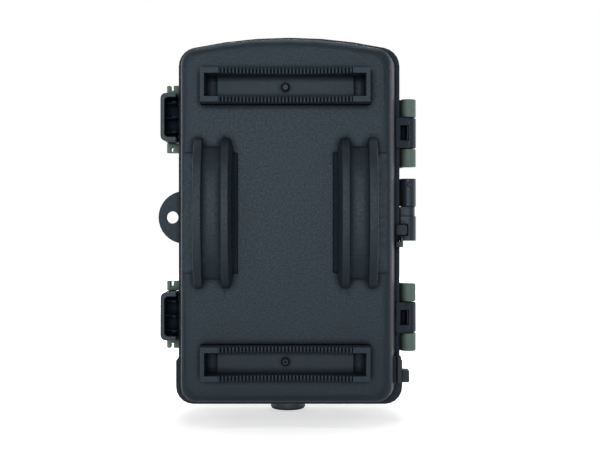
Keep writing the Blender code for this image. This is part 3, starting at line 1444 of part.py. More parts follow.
def tripod_insert(front):
    x, y = BOSS_AT
    low = BOSS_LOW + GAP
    high = low + SOCKET_DEEP + WALL
    profile = [
        (0.0, high),
        (INSERT_R, high),
        (INSERT_R, low),
        (SOCKET_R, low),
        (SOCKET_R, low + SOCKET_DEEP),
        (0.0, low + SOCKET_DEEP),
    ]
    insert = turned("tripod_insert", profile, Matrix.Translation((x, y, 0.0)), 20)
    return part(insert, "brass", front)


def latch_outline(z, inset, near):
    """The latch seen from behind: square towards the case, with two round outer corners."""
    corner = LATCH_CORNER - inset / 2
    x = CASE_LEFT - LATCH_OUT + inset + corner
    reach = LATCH_LENGTH / 2 - inset
    high = z + reach - corner
    low = z - reach + corner
    outline = [(near, z - reach), (near, z + reach)]
    outline += arc(x, high, corner, 90, 180, 4)
    return outline + arc(x, low, corner, 180, 270, 4)


def latch_inside(word, z, near, floor):
    """Ribs across the channel, each with a hook that stands behind the rim."""
    out = CASE_LEFT - LATCH_OUT
    bottom = floor + LATCH_WALL / 2
    reach, deep, thick = LATCH_HOOK
    hook_back = RIM_BACK_Y - GAP - deep
    pieces = []
    for number in range(3):
        rib_z = z + (number - 1) * LATCH_RIB_PITCH
        rib = box(
            "%s_latch_rib_%d" % (word, number + 1),
            (out + LATCH_WALL / 2, LATCH_RIB_BACK, rib_z - LATCH_RIB / 2),
            (near - reach / 2, bottom, rib_z + LATCH_RIB / 2),
        )
        hook = box(
            "%s_latch_hook_%d" % (word, number + 1),
            (near - reach, hook_back, rib_z - thick / 2),
            (near, bottom, rib_z + thick / 2),
        )
        pieces += [rib, hook]
    return pieces


def latch(word, z, front):
    """Snap latch: a channel that is open towards the case, on a barrel at its front end."""
    x = LATCH_PIVOT_X
    y = LATCH_PIVOT_Y
    near = CASE_LEFT - 2 * GAP
    floor = y - LATCH_BARREL_R - LATCH_WALL
    body = prism(word + "_latch", "Y", [latch_outline(z, 0.0, near)], LATCH_REAR, y)
    hollow = latch_outline(z, LATCH_WALL, near + WALL)
    cut(body, prism(word + "_latch_hollow", "Y", [hollow], LATCH_REAR - WALL, floor))
    half = Vector((0.0, 0.0, LATCH_LENGTH / 2))
    past = Vector((0.0, 0.0, LATCH_LENGTH / 2 + WALL))
    middle = Vector((x, y, z))
    join(body, *latch_inside(word, z, near, floor))
    join(body, rod(word + "_latch_barrel", middle - half, middle + half, LATCH_BARREL_R, 16))
    cut(body, rod(word + "_latch_bore", middle - past, middle + past, LATCH_PIN_R + PIN_PLAY, 12))
    return part(body, "black_plastic", front, (x, y, z))


def latch_pin(word, z, front):
    reach = LATCH_LENGTH / 2 + GAP + EAR_LENGTH - EAR_SLOT_DEEP - GAP
    low = (LATCH_PIVOT_X, LATCH_PIVOT_Y, z - reach)
    high = (LATCH_PIVOT_X, LATCH_PIVOT_Y, z + reach)
    return part(rod(word + "_latch_pin", low, high, LATCH_PIN_R, 12), "dark_steel", front)


def build_rear_half():
    rear_cover()
    seal_gasket()
    for word, z in zip(("upper", "lower"), GRIP_Z):
        tree_grip(word, z)
        grip_screw(word, z)
    for word, z in zip(("upper", "lower"), HINGE_Z):
        hinge_pin(word, z)
    battery_tray()
    for index in range(2 * CELL_COLUMNS):
        battery_cell(index)
    contact_strips()
    dc_jack()
    dc_port_cover()
    conduit_lower()
    conduit_grommet()
    power_lead()


def build_front_half(front):
    front_housing(front)
    front_bezel(front)
    ir_window(front)
    ir_led_board(front)
    lens_barrel(front)
    lens_glass(front)
    pir_lens(front)
    cx = CASE_CENTRE_X
    board_face = BOARD_Y + BOARD_THICK + GAP
    can("pir_sensor", cx, board_face, board_face + PIR_CAN, PIR_Z, PIR_CAN_R, "steel", front)
    x, z = STATUS_AT
    status_top = BEZEL_Y + BEZEL_THICK + STATUS_PROUD
    can("status_led", cx + x, BEZEL_Y, status_top, z, STATUS_R, "red_plastic", front)
    inner_panel(front)
    for number, (x, z) in enumerate(post_places(), 1):
        panel_screw(number, x, z, front)
    screen_window(front)
    lcd_panel(front)
    main_board(front)
    image_sensor(front)
    for name, (x, z) in zip(("up", "down", "left", "right", "ok"), button_places()):
        button(name + "_button", x, z, front)
    mode_switch(front)
    sd_card(front)
    sd_socket(front)
    usb_port(front)
    tripod_boss(front)
    tripod_insert(front)
    conduit_upper(front)
    for word, z in zip(("upper", "lower"), LATCH_Z):
        latch(word, z, front)
        latch_pin(word, z, front)


clear_scene()
PARTS = collection("trail_camera")
TOOLS = collection("cutters")
build_rear_half()
build_front_half(empty("front_half", (HINGE_X, HINGE_Y, 0.0)))
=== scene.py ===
"""Looks for the trail camera: mouldings, metal, glass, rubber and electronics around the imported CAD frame.

Frame: origin on the flat back, -Y out of the back, +Y out of the lens, +Z up, hinge line at +X. Metres.
"""
import json
import math

import bmesh
import bpy
from mathutils import Matrix, Vector
from mathutils.bvhtree import BVHTree


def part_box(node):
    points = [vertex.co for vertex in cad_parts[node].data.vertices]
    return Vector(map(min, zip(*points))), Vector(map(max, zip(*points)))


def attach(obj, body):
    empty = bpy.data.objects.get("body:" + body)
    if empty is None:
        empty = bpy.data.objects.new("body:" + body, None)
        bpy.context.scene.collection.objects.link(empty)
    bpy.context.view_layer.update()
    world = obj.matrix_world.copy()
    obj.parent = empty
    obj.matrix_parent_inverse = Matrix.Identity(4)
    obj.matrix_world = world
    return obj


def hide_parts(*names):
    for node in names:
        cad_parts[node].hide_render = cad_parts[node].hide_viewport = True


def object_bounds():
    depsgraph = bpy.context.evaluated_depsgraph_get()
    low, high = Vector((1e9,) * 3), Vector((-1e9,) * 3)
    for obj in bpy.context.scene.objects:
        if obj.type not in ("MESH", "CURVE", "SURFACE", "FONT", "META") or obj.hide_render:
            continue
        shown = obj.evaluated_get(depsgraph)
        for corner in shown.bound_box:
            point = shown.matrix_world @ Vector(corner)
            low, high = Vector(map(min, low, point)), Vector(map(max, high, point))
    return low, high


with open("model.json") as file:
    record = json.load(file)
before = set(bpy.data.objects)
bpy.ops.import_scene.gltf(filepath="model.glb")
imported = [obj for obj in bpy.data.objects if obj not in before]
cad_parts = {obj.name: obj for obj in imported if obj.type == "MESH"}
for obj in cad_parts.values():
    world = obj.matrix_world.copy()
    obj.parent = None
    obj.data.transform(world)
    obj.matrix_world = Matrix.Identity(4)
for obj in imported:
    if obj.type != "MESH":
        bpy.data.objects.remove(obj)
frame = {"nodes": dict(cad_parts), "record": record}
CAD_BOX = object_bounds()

MM = 0.001

# Photograph: its camera stands on the axis of the back, a little below the middle
CAMERA_AT = (5.1 * MM, -380.0 * MM, -4.2 * MM)
LENS = 65.1
SENSOR = 36.0
CLIP_START = 10.0 * MM

# Lamps: place, size and power
LAMPS = {
    "key": ((-0.05, -1.0, -0.05), 0.66, 9.8),
    "fill": ((-0.7, -0.75, 0.35), 0.5, 1.5),
    "top": ((0.0, 0.12, 1.1), 0.8, 5.0),
    "left": ((-1.0, 0.6, 0.2), 0.7, 4.0),
    "right": ((1.0, 0.45, 0.2), 0.7, 4.0),
    "front": ((0.0, 1.0, 0.35), 0.4, 4.5),
}
LAMP_AIM = Vector((0.0, 20.0 * MM, 0.0))

# White ground: the rays that see it at full strength, what the world adds as light, and the floor's own glow
SEEN_BY = ("Is Camera Ray", "Is Glossy Ray", "Is Transmission Ray")
WHITE = (1.0, 1.0, 1.0, 1.0)
WORLD_LIGHT = 0.16
FLOOR_R = 4.0
FLOOR_COLOUR = (0.85, 0.85, 0.85, 1.0)
FLOOR_ROUGHNESS = 0.9
FLOOR_GLOW = (0.6, 1.0)
FLOOR_GLOW_REACH = (0.2, 0.8)

# Mesh refinement
WELD = 0.001 * MM
FLAT_ANGLE = 0.6
SLICE = 5.0 * MM
SHARP_ANGLE = 35.0
SMOOTH_ANGLE = 36.0
FOLD_AREA = 0.001 * MM ** 2
FOLD_REACHES = (2.0, 4.0, 8.0, 16.0)
ROOM_BESIDE = 2.1
ROOM_ALONG = 1.2
EDGE = 0.2 * MM
EDGES = {
    "rear_cover": 0.3 * MM,
    "front_housing": 0.3 * MM,
    "upper_tree_grip": 0.05 * MM,
    "lower_tree_grip": 0.05 * MM,
    "dc_port_cover": 0.4 * MM,
    "upper_latch": 0.3 * MM,
    "lower_latch": 0.3 * MM,
    "conduit_lower": 0.12 * MM,
    "conduit_upper": 0.12 * MM,
    "front_bezel": 0.35 * MM,
    "tripod_boss": 0.3 * MM,
    "seal_gasket": 0.15 * MM,
    "image_sensor": 0.1 * MM,
}

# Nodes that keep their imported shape, with eased edges
REAR_MOULDINGS = (
    "rear_cover", "upper_tree_grip", "lower_tree_grip", "seal_gasket", "upper_hinge_pin", "lower_hinge_pin",
    "battery_tray", "dc_jack", "dc_port_cover", "conduit_lower", "conduit_grommet",
)
FRONT_MOULDINGS = (
    "front_housing", "front_bezel", "ir_window", "pir_sensor", "status_led", "inner_panel", "screen_window",
    "main_board", "image_sensor", "sd_socket", "usb_port", "tripod_boss", "conduit_upper", "upper_latch_pin",
    "lower_latch_pin", "upper_latch", "lower_latch", "mode_switch", "sd_card",
)
SHELLS = ("rear_cover", "front_housing")
FINISHES = {
    "upper_tree_grip": "grip_plastic",
    "lower_tree_grip": "grip_plastic",
    "tripod_boss": "boss_plastic",
    "image_sensor": "screen",
    "screen_window": "thin_window",
}

# Pockets with painted shade: how far off and on how many sides their walls stand, and where along X the
# search starts
PAINTED_SHADE_POCKETS = {
    "upper_latch": (25.0 * MM, 3, -60.0 * MM),
    "lower_latch": (25.0 * MM, 3, -60.0 * MM),
    "rear_cover": (5.5 * MM, 3, 41.0 * MM),
}
SIDEWAYS = ((1, 0, 0), (-1, 0, 0), (0, 0, 1), (0, 0, -1))
RAY_LIFT = 0.05 * MM
# Strap tunnels, whose floors take painted shade: how far off the middle line, how far below the back and how
# level their floors lie
TUNNEL_REACH = (16.0 * MM, 27.0 * MM)
TUNNEL_SUNK = (0.2 * MM, 0.6 * MM)
TUNNEL_LEVEL = 0.9

# Noise: where most of its values lie, how rough it is and how fine
NOISE_SPAN = (0.3, 0.7)
NOISE_ROUGHNESS = 0.6
SOFT_NOISE = 2.0
FULL_NOISE = 3.0
SHARP_NOISE = 4.0

# Hollows in plastic: how far off their walls stand, the colour left in the deepest under painted shade, and
# where gloss ends
HOLLOW = 2.4 * MM
HOLLOW_RAYS = 8
PAINTED_HOLLOW_SHADE = 0.3
HOLLOW_MATT = 0.4
# Walls along the draw of the mould: their share of the gloss and grain, and how level a full face is
WALL_GLOSS = 0.9
WALL_GLOSS_SPAN = (0.5, 0.9)
WALL_GRAIN = 0.2
WALL_GRAIN_SPAN = (0.6, 0.95)

# Mouldings
FLOW_BLOTCH = 9.0 * MM
GLOSS_SPREAD = (-0.07, 0.09)
CASE_GRAIN = dict(grain=0.8 * MM, depth=0.08 * MM)
FINE_GRAIN = dict(grain=0.5 * MM, depth=0.03 * MM)
PRINTED = dict(grain=6.0 * MM, depth=0.01 * MM, specular=0.4)
NEUTRAL = (1.0, 1.0, 1.0)
COOL = (0.72, 0.90, 1.0)
MOULDINGS = {
    "cover_plastic": dict(
        colour=(0.009, 0.014, 0.020), roughness=0.44, specular=0.205, gloss=COOL, **CASE_GRAIN
    ),
    "grip_plastic": dict(
        colour=(0.010, 0.015, 0.022), roughness=0.46, depth=0.01 * MM, specular=0.22, gloss=COOL
    ),
    "housing_plastic": dict(colour=(0.103, 0.146, 0.128), roughness=0.5, specular=0.22, **CASE_GRAIN),
    "black_plastic": dict(
        colour=(0.010, 0.014, 0.019), roughness=0.42, specular=0.3, gloss=COOL, **FINE_GRAIN
    ),
    "boss_plastic": dict(
        colour=(0.020, 0.026, 0.032), roughness=0.4, specular=0.6, gloss=COOL, **FINE_GRAIN
    ),
    # Painted shade: a dark matt finish for pockets, tunnel floors and screw gaps, where shade falls
    "deep_pocket": dict(colour=(0.012, 0.018, 0.028), roughness=0.7, specular=0.03),
    "rubber": dict(colour=(0.022, 0.028, 0.031), roughness=0.6, specular=0.25, gloss=COOL, **FINE_GRAIN),
    "cell_sleeve": dict(colour=(0.020, 0.055, 0.075), roughness=0.36, **PRINTED),
    "cell_band": dict(colour=(0.42, 0.43, 0.44), roughness=0.36, **PRINTED),
    "milky_plastic": dict(
        colour=(0.52, 0.52, 0.49), roughness=0.4, grain=0.5 * MM, depth=0.01 * MM, spread=0.04
    ),
    "button_plastic": dict(colour=(0.14, 0.15, 0.16), roughness=0.5),
    "card_plastic": dict(colour=(0.016, 0.035, 0.10), roughness=0.42, grain=0.3 * MM, depth=0.015 * MM),
    "mark": dict(colour=(0.55, 0.56, 0.56), roughness=0.5),
}

# Metals
METAL_CLOUD = 3.0 * MM
METAL_SHADES = (0.85, 1.1)
METAL_SPREAD = (-0.06, 0.1)
SCRATCH = 0.5 * MM
SCRATCH_DEPTH = 0.004 * MM
METALS = {
    "steel": dict(colour=(0.40, 0.41, 0.42), roughness=0.34),
    "dark_steel": dict(colour=(0.019, 0.022, 0.026), roughness=0.45),
    "brass": dict(colour=(0.60, 0.44, 0.18), roughness=0.3),
}

# Glass and clear plastic
GLASS_CLOUD = 6.0 * MM
GLASS_SHADES = (0.9, 1.1)
GLASS_SPREAD = 0.03
GLASSES = {
    "dark_glass": dict(colour=(0.014, 0.005, 0.006), roughness=0.05, alpha=0.4),
    "thin_window": dict(colour=(0.02, 0.022, 0.026), roughness=0.05, alpha=0.15),
    "clear_glass": dict(colour=(0.80, 0.85, 0.95), roughness=0.01, transmission=1.0, coat=0.4),
    "red_plastic": dict(colour=(0.5, 0.015, 0.015), roughness=0.12, transmission=0.4),
    "emitter": dict(colour=(0.75, 0.70, 0.78), roughness=0.05, transmission=0.6),
    "screen": dict(colour=(0.012, 0.016, 0.024), roughness=0.12, coat=0.2),
}

# Circuit boards
BOARD_COLOUR = (0.016, 0.085, 0.045)
BOARD_ROUGHNESS = 0.35
BOARD_SHADES = {"Color1": 0.8, "Color2": 1.1, "Mortar": 1.8}
TRACE_SCALE = 260.0
TRACE_WIDTH = 0.03
TRACE_DEPTH = 0.03 * MM

# Small pieces
CELLS = 8
CELL_SIDES = 40
PANEL_SCREWS = 4
PANEL_SCREW_SIDES = 32
RECESS_EDGE = 0.02 * MM
GRIP_SCREW_PITS = {"upper_grip_screw": 0.08, "lower_grip_screw": 0.3}
GRIP_SCREW_SIDES = 36
THIN_SIDES = 24
WIPER_SIDES = 40
SPRING_WIRE_R = 0.32 * MM
SPRING_BASE_R = 4.4 * MM
SPRING_TIP_R = 2.6 * MM
SPRING_TURNS = 2.25
SPRING_STEPS = 60
SPRING_REACH = 6.0 * MM
STRIP_THICK = 0.6 * MM
STRIP_EDGE = 0.12 * MM
STRIP_PAST_CELL = 3.5 * MM
LED_GRID = (7, 4)
LED_PITCH = 5.6 * MM
LED_R = 2.5 * MM
LED_BODY = 0.9 * MM
LED_CROWN_R = 0.86 * LED_R
LED_SIDES = 20
BOARD_THICK = 1.6 * MM
LENS_BORE = 8.0 * MM
LENS_BAFFLES = 5
LENS_NARROW = 0.62
LENS_FLARE = 0.36
LENS_SIDES = 64
DOME_SIDES = 18
DOME_RINGS = (68, 46, 24)
DOME_SEAM = 0.16 * MM
DOME_FACET_EDGE = 0.1 * MM
DOME_FACET_RISE = 0.12 * MM
DOME_SKIN = 0.9 * MM
DOME_SHARP_ANGLE = 8.0
THREAD_PITCH = 1.27 * MM
THREAD_DEPTH = 0.5 * MM
THREAD_STEPS = 8
SOCKET_R = 3.175 * MM
SOCKET_DEEP = 9.0 * MM
SOCKET_SIDES = 40
KEY_MARK_R = 1.3 * MM
KEY_MARK = 0.15 * MM
# Keys: corners of the mark on each, and which way its first corner points
KEYS = {
    "up_button": (3, 90),
    "left_button": (3, 180),
    "down_button": (3, 270),
    "right_button": (3, 0),
    "ok_button": (24, 0),
}

RECORD = frame["record"]
BODY_OF = {node: body for body, nodes in RECORD["behaviour"]["bodies"].items() for node in nodes}
SLOT_OF = {row["node"]: row["material_slot"] for row in RECORD["subparts"]}


# Materials

def new_material(name):
    material = bpy.data.materials.new(name)
    material.use_nodes = True
    tree = material.node_tree
    return material, tree, tree.nodes["Principled BSDF"]


def add_node(tree, kind, **values):
    node = tree.nodes.new(kind)
    for key, value in values.items():
        if key in node.inputs:
            node.inputs[key].default_value = value
        else:
            setattr(node, key, value)
    return node


def combine(tree, operation, first, second):
    """Two values through one step of arithmetic."""
    node = add_node(tree, "ShaderNodeMath", operation=operation)
    tree.links.new(first, node.inputs[0])
    tree.links.new(second, node.inputs[1])
    return node.outputs["Value"]


def noise(tree, size, detail):
    """Noise whose features are about that size in metres."""
    place = add_node(tree, "ShaderNodeTexCoord")
    texture = add_node(tree, "ShaderNodeTexNoise", Scale=1.0 / size, Detail=detail)
    texture.inputs["Roughness"].default_value = NOISE_ROUGHNESS
    tree.links.new(place.outputs["Object"], texture.inputs["Vector"])
    return texture.outputs["Fac"]


def shade(colour, factor):
    """A colour made darker or lighter, as four channels."""
    return (*(min(channel * factor, 1.0) for channel in colour), 1.0)


def tint(tree, value, colour, dark, light):
    """A colour that goes from a darker to a lighter shade with a noise."""
    node = add_node(tree, "ShaderNodeValToRGB")
    for element, position, factor in zip(node.color_ramp.elements, NOISE_SPAN, (dark, light)):
        element.position = position
        element.color = shade(colour, factor)
    tree.links.new(value, node.inputs["Fac"])
    return node.outputs["Color"]


def vary(tree, value, low, high, span=NOISE_SPAN):
    """A value spread from one span over another, whose high end may itself vary."""
    node = add_node(tree, "ShaderNodeMapRange")
    node.inputs["From Min"].default_value = span[0]
    node.inputs["From Max"].default_value = span[1]
    node.inputs["To Min"].default_value = low
    if isinstance(high, bpy.types.NodeSocket):
        tree.links.new(high, node.inputs["To Max"])
    else:
        node.inputs["To Max"].default_value = high
    tree.links.new(value, node.inputs["Value"])
    return node.outputs["Result"]


def bump(tree, shader, height, distance):
    node = add_node(tree, "ShaderNodeBump", Strength=1.0, Distance=distance)
    tree.links.new(height, node.inputs["Height"])
    tree.links.new(node.outputs["Normal"], shader.inputs["Normal"])
    return node


def across_draw(tree):
    """1 on faces across the draw of the mould, which is along Y, down to 0 on walls along it."""
    place = add_node(tree, "ShaderNodeTexCoord")
    parts = add_node(tree, "ShaderNodeSeparateXYZ")
    tree.links.new(place.outputs["Normal"], parts.inputs["Vector"])
    size = add_node(tree, "ShaderNodeMath", operation="ABSOLUTE")
    tree.links.new(parts.outputs["Y"], size.inputs[0])
    return size.outputs["Value"]


def openness(tree):
    """1 on open faces, less in corners and hollows about as wide as HOLLOW; it sets painted shade and matt
    gloss there.
    """
    node = add_node(tree, "ShaderNodeAmbientOcclusion", Distance=HOLLOW, samples=HOLLOW_RAYS)
    return node.outputs["AO"]


def paint_shade(tree, colour, light):
    """A colour scaled down by how much light reaches it, as painted shade."""
    node = add_node(tree, "ShaderNodeVectorMath", operation="SCALE")
    tree.links.new(colour, node.inputs[0])
    tree.links.new(light, node.inputs["Scale"])
    return node.outputs["Vector"]


def moulded(
    name, colour, roughness, grain=0.35 * MM, depth=0.03 * MM, spread=0.05, specular=0.35, gloss=NEUTRAL
):
    """Moulded plastic or rubber: eroded grain, faint flow blotches, painted shade in hollows, and matter in
    hollows and on walls.
    """
    material, tree, shader = new_material(name)
    shader.inputs["Specular IOR Level"].default_value = specular
    shader.inputs["Specular Tint"].default_value = (*gloss, 1.0)
    reached = openness(tree)
    facing = across_draw(tree)
    blotched = tint(tree, noise(tree, FLOW_BLOTCH, FULL_NOISE), colour, 1.0 - spread, 1.0 + spread)
    # Painted shade: the colour darkens in corners and hollows where less light reaches
    light = vary(tree, reached, PAINTED_HOLLOW_SHADE, 1.0, (PAINTED_HOLLOW_SHADE, 1.0))
    tree.links.new(paint_shade(tree, blotched, light), shader.inputs["Base Color"])
    fine = noise(tree, grain, FULL_NOISE)
    even = vary(tree, fine, roughness + GLOSS_SPREAD[0], roughness + GLOSS_SPREAD[1])
    glossy = combine(tree, "MINIMUM", reached, vary(tree, facing, WALL_GLOSS, 1.0, WALL_GLOSS_SPAN))
    tree.links.new(vary(tree, glossy, 1.0, even, (HOLLOW_MATT, 1.0)), shader.inputs["Roughness"])
    grained = bump(tree, shader, fine, depth)
    tree.links.new(vary(tree, facing, WALL_GRAIN, 1.0, WALL_GRAIN_SPAN), grained.inputs["Strength"])
    return material


def metal(name, colour, roughness):
    """Plated or machined metal with fine scratches and cloudy gloss."""
    material, tree, shader = new_material(name)
    shader.inputs["Metallic"].default_value = 1.0
    cloud = noise(tree, METAL_CLOUD, FULL_NOISE)
    tree.links.new(tint(tree, cloud, colour, *METAL_SHADES), shader.inputs["Base Color"])
    even = vary(tree, cloud, roughness + METAL_SPREAD[0], roughness + METAL_SPREAD[1])
    tree.links.new(even, shader.inputs["Roughness"])
    bump(tree, shader, noise(tree, SCRATCH, SHARP_NOISE), SCRATCH_DEPTH)
    return material


def glass(name, colour, roughness, transmission=0.0, coat=0.0, alpha=1.0):
    """Glass or clear plastic; a low alpha makes it a thin tinted window."""
    material, tree, shader = new_material(name)
    shader.inputs["Transmission Weight"].default_value = transmission
    shader.inputs["Coat Weight"].default_value = coat
    shader.inputs["Alpha"].default_value = alpha
    cloud = noise(tree, GLASS_CLOUD, SOFT_NOISE)
    tree.links.new(tint(tree, cloud, colour, *GLASS_SHADES), shader.inputs["Base Color"])
    tree.links.new(vary(tree, cloud, roughness, roughness + GLASS_SPREAD), shader.inputs["Roughness"])
    return material


def circuit_board():
    """Solder mask with traces that run square to each other under it."""
    material, tree, shader = new_material("circuit_board")
    shader.inputs["Roughness"].default_value = BOARD_ROUGHNESS
    place = add_node(tree, "ShaderNodeTexCoord")
    turn = add_node(tree, "ShaderNodeMapping", Rotation=(math.pi / 2, 0.0, 0.0))
    bricks = add_node(tree, "ShaderNodeTexBrick", Scale=TRACE_SCALE)
    bricks.inputs["Mortar Size"].default_value = TRACE_WIDTH
    for part, factor in BOARD_SHADES.items():
        bricks.inputs[part].default_value = shade(BOARD_COLOUR, factor)
    tree.links.new(place.outputs["Object"], turn.inputs["Vector"])
    tree.links.new(turn.outputs["Vector"], bricks.inputs["Vector"])
    tree.links.new(bricks.outputs["Color"], shader.inputs["Base Color"])
    bump(tree, shader, bricks.outputs["Fac"], TRACE_DEPTH)
    return material


def make_materials():
    made = {"circuit_board": circuit_board()}
    for make, table in ((moulded, MOULDINGS), (metal, METALS), (glass, GLASSES)):
        for name, values in table.items():
            made[name] = make(name, **values)
    return made


MATERIALS = make_materials()


# Mesh pieces

def link_mesh(name, builder, finishes):
    """Object from a bmesh, smooth where it curves, with the named materials."""
    mesh = bpy.data.meshes.new(name)
    bmesh.ops.recalc_face_normals(builder, faces=builder.faces[:])
    builder.to_mesh(mesh)
    builder.free()
    mesh.shade_smooth()
    mesh.set_sharp_from_angle(angle=math.radians(SMOOTH_ANGLE))
    for finish in finishes:
        mesh.materials.append(MATERIALS[finish])
    piece = bpy.data.objects.new(name, mesh)
    bpy.context.scene.collection.objects.link(piece)
    return piece


def even_normals(piece):
    """Flat faces keep their flat shading beside eased edges."""
    weighted = piece.modifiers.new("even_normals", "WEIGHTED_NORMAL")
    weighted.keep_sharp = True
    return piece


def seat(piece, node, stands_for=True):
    """The piece rides where that node rides and, as a rule, stands for it."""
    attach(piece, BODY_OF[node])
    if stands_for:
        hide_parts(node)
    return piece


def middle(node):
    low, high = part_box(node)
    return (low + high) / 2


def radius_of(node):
    low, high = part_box(node)
    return (high.x - low.x) / 2


def depth_of(node):
    low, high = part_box(node)
    return high.y - low.y


def room(face, edge, width):
    """Whether a face has room beside one of its edges for an eased strip of that width."""
    start = edge.verts[0].co
    along = (edge.verts[1].co - start).normalized()
    reach = max(((v.co - start) - (v.co - start).dot(along) * along).length for v in face.verts)
    return reach > ROOM_BESIDE * width


def easy_edges(builder, width):
    """Sharp edges that are long enough, and lie between faces wide enough, to be eased."""
    found = []
    for edge in builder.edges:
        if len(edge.link_faces) != 2 or edge.calc_face_angle() < math.radians(SHARP_ANGLE):
            continue
        lengths = [e.calc_length() for v in edge.verts for e in v.link_edges]
        if min(lengths) < ROOM_ALONG * width:
            continue
        if all(room(face, edge, width) for face in edge.link_faces):
            found.append(edge)
    return found


def cad_mesh(node):
    """The node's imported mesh, welded, with its flat faces made whole."""
    builder = bmesh.new()
    builder.from_mesh(frame["nodes"][node].data)
    bmesh.ops.remove_doubles(builder, verts=builder.verts[:], dist=WELD)
    flat = math.radians(FLAT_ANGLE)
    bmesh.ops.dissolve_limit(builder, angle_limit=flat, verts=builder.verts[:], edges=builder.edges[:])
    return builder


def folds(builder):
    """Corners of the triangles that would lie folded back inside their own face."""
    builder.normal_update()
    corners = []
    for loops in builder.calc_loop_triangles():
        points = [loop.vert.co.copy() for loop in loops]
        turn = (points[1] - points[0]).cross(points[2] - points[0])
        if turn.dot(loops[0].face.normal) < -FOLD_AREA:
            corners += points
    return corners


def near_segment(ends, point, reach):
    """Whether a point lies within reach of the straight line between two ends."""
    start, end = ends
    along = end - start
    share = min(max((point - start).dot(along) / along.length_squared, 0.0), 1.0)
    return (start + along * share - point).length < reach


def bevel(builder, edges, width):
    """Eases edges with a strip of two faces."""
    bmesh.ops.bevel(builder, geom=edges, offset=width, segments=2, profile=0.5, affect="EDGES")


def ease(node, width):
    """The node's mesh with eased edges; those stay sharp whose easing would fold a face."""
    kept_sharp = set()
    for widths in FOLD_REACHES:
        builder = cad_mesh(node)
        builder.edges.index_update()
        edges = [e for e in easy_edges(builder, width) if e.index not in kept_sharp]
        places = {e.index: [v.co.copy() for v in e.verts] for e in edges}
        bevel(builder, edges, width)
        corners = folds(builder)
        if not corners:
            break
        for index, ends in places.items():
            if any(near_segment(ends, corner, widths * width) for corner in corners):
                kept_sharp.add(index)
    return builder


def slice_shell(builder):
    """Cuts a large shell into even strips, so that shading runs evenly along its walls."""
    bmesh.ops.triangulate(builder, faces=builder.faces[:])
    points = [v.co for v in builder.verts]
    for axis in (0, 2):
        low = min(point[axis] for point in points)
        high = max(point[axis] for point in points)
        normal = Vector([float(i == axis) for i in range(3)])
        for step in range(1, int((high - low) / SLICE) + 1):
            geometry = builder.verts[:] + builder.edges[:] + builder.faces[:]
            place = normal * (low + step * SLICE)
            bmesh.ops.bisect_plane(builder, geom=geometry, dist=WELD, plane_co=place, plane_no=normal)


def in_tunnel(point, normal):
    """Whether a face of the back lies on the floor of a strap tunnel."""
    beside = TUNNEL_REACH[0] < abs(point.x) < TUNNEL_REACH[1]
    sunk = TUNNEL_SUNK[0] < point.y < TUNNEL_SUNK[1]
    return beside and sunk and normal.y < -TUNNEL_LEVEL


def paint_pocket_shade(piece, reach, sides, start_x):
    """Tunnel floors, and faces walled in closely on so many sides, take a dark matt finish: painted shade
    where shade falls.
    """
    piece.data.materials.append(MATERIALS["deep_pocket"])
    builder = bmesh.new()
    builder.from_mesh(piece.data)
    tree = BVHTree.FromBMesh(builder)
    for face in builder.faces:
        start = face.calc_center_median() + face.normal * RAY_LIFT
        walls = [tree.ray_cast(start, Vector(way), reach)[0] for way in SIDEWAYS]
        # Faces walled in on enough sides, past start_x, get painted shade
        deep = start.x > start_x and sum(wall is not None for wall in walls) >= sides
        if deep or in_tunnel(start, face.normal):
            face.material_index = 1
    builder.to_mesh(piece.data)
    builder.free()


def refine(node):
    """A node's own shape with eased edges and even shading, in its finish."""
    builder = ease(node, EDGES.get(node, EDGE))
    if node in SHELLS:
        slice_shell(builder)
    piece = link_mesh(node + "_piece", builder, [FINISHES.get(node, SLOT_OF[node])])
    # The pockets of these nodes take painted shade
    if node in PAINTED_SHADE_POCKETS:
        paint_pocket_shade(piece, *PAINTED_SHADE_POCKETS[node])
    seat(even_normals(piece), node)


def block(builder, low, high, edge, index=0):
    """An eased box added to a bmesh."""
    low = Vector(low)
    high = Vector(high)
    place = Matrix.Translation((low + high) / 2) @ Matrix.Diagonal((*(high - low), 1.0))
    others = set(builder.faces)
    made = bmesh.ops.create_cube(builder, size=1.0, matrix=place)["verts"]
    bevel(builder, list({e for v in made for e in v.link_edges}), edge)
    for face in set(builder.faces) - others:
        face.material_index = index


def turn_ring(builder, points, place):
    """A ring of vertices from (radius, height) points spread evenly about an axis."""
    turns = [2 * math.pi * i / len(points) for i in range(len(points))]
    spread = [Vector((r * math.cos(t), r * math.sin(t), h)) for t, (r, h) in zip(turns, points)]
    return [builder.verts.new(place @ point) for point in spread]


def skin(builder, near, far):
    """Faces between two rings, either of which may be one point on the axis."""
    sides = max(len(near), len(far))
    faces = []
    for i in range(sides):
        j = (i + 1) % sides
        corners = [near[i % len(near)], near[j % len(near)], far[j % len(far)], far[i % len(far)]]
        faces.append(builder.faces.new(list(dict.fromkeys(corners))))
    return faces


def lathe(builder, profile, place, sides, bands=()):
    """A profile of (radius, height) points turned about its axis; bands are material numbers per step."""
    rings = []
    for radius, height in profile:
        count = sides if radius > 0.0 else 1
        rings.append(turn_ring(builder, [(radius, height)] * count, place))
    closed = profile[0][0] > 0.0
    followers = rings[1:] + rings[:1] if closed else rings[1:]
    for step, (near, far) in enumerate(zip(rings, followers)):
        for face in skin(builder, near, far):
            face.material_index = bands[step] if bands else 0


def turned_piece(name, profile, place, sides, finishes, bands=()):
    builder = bmesh.new()
    lathe(builder, profile, place, sides, bands)
    return link_mesh(name, builder, finishes)


def along_x(x, y, z):
    """Places a turned shape with its axis along +X."""
    return Matrix.Translation((x, y, z)) @ Matrix.Rotation(math.pi / 2, 4, "Y")


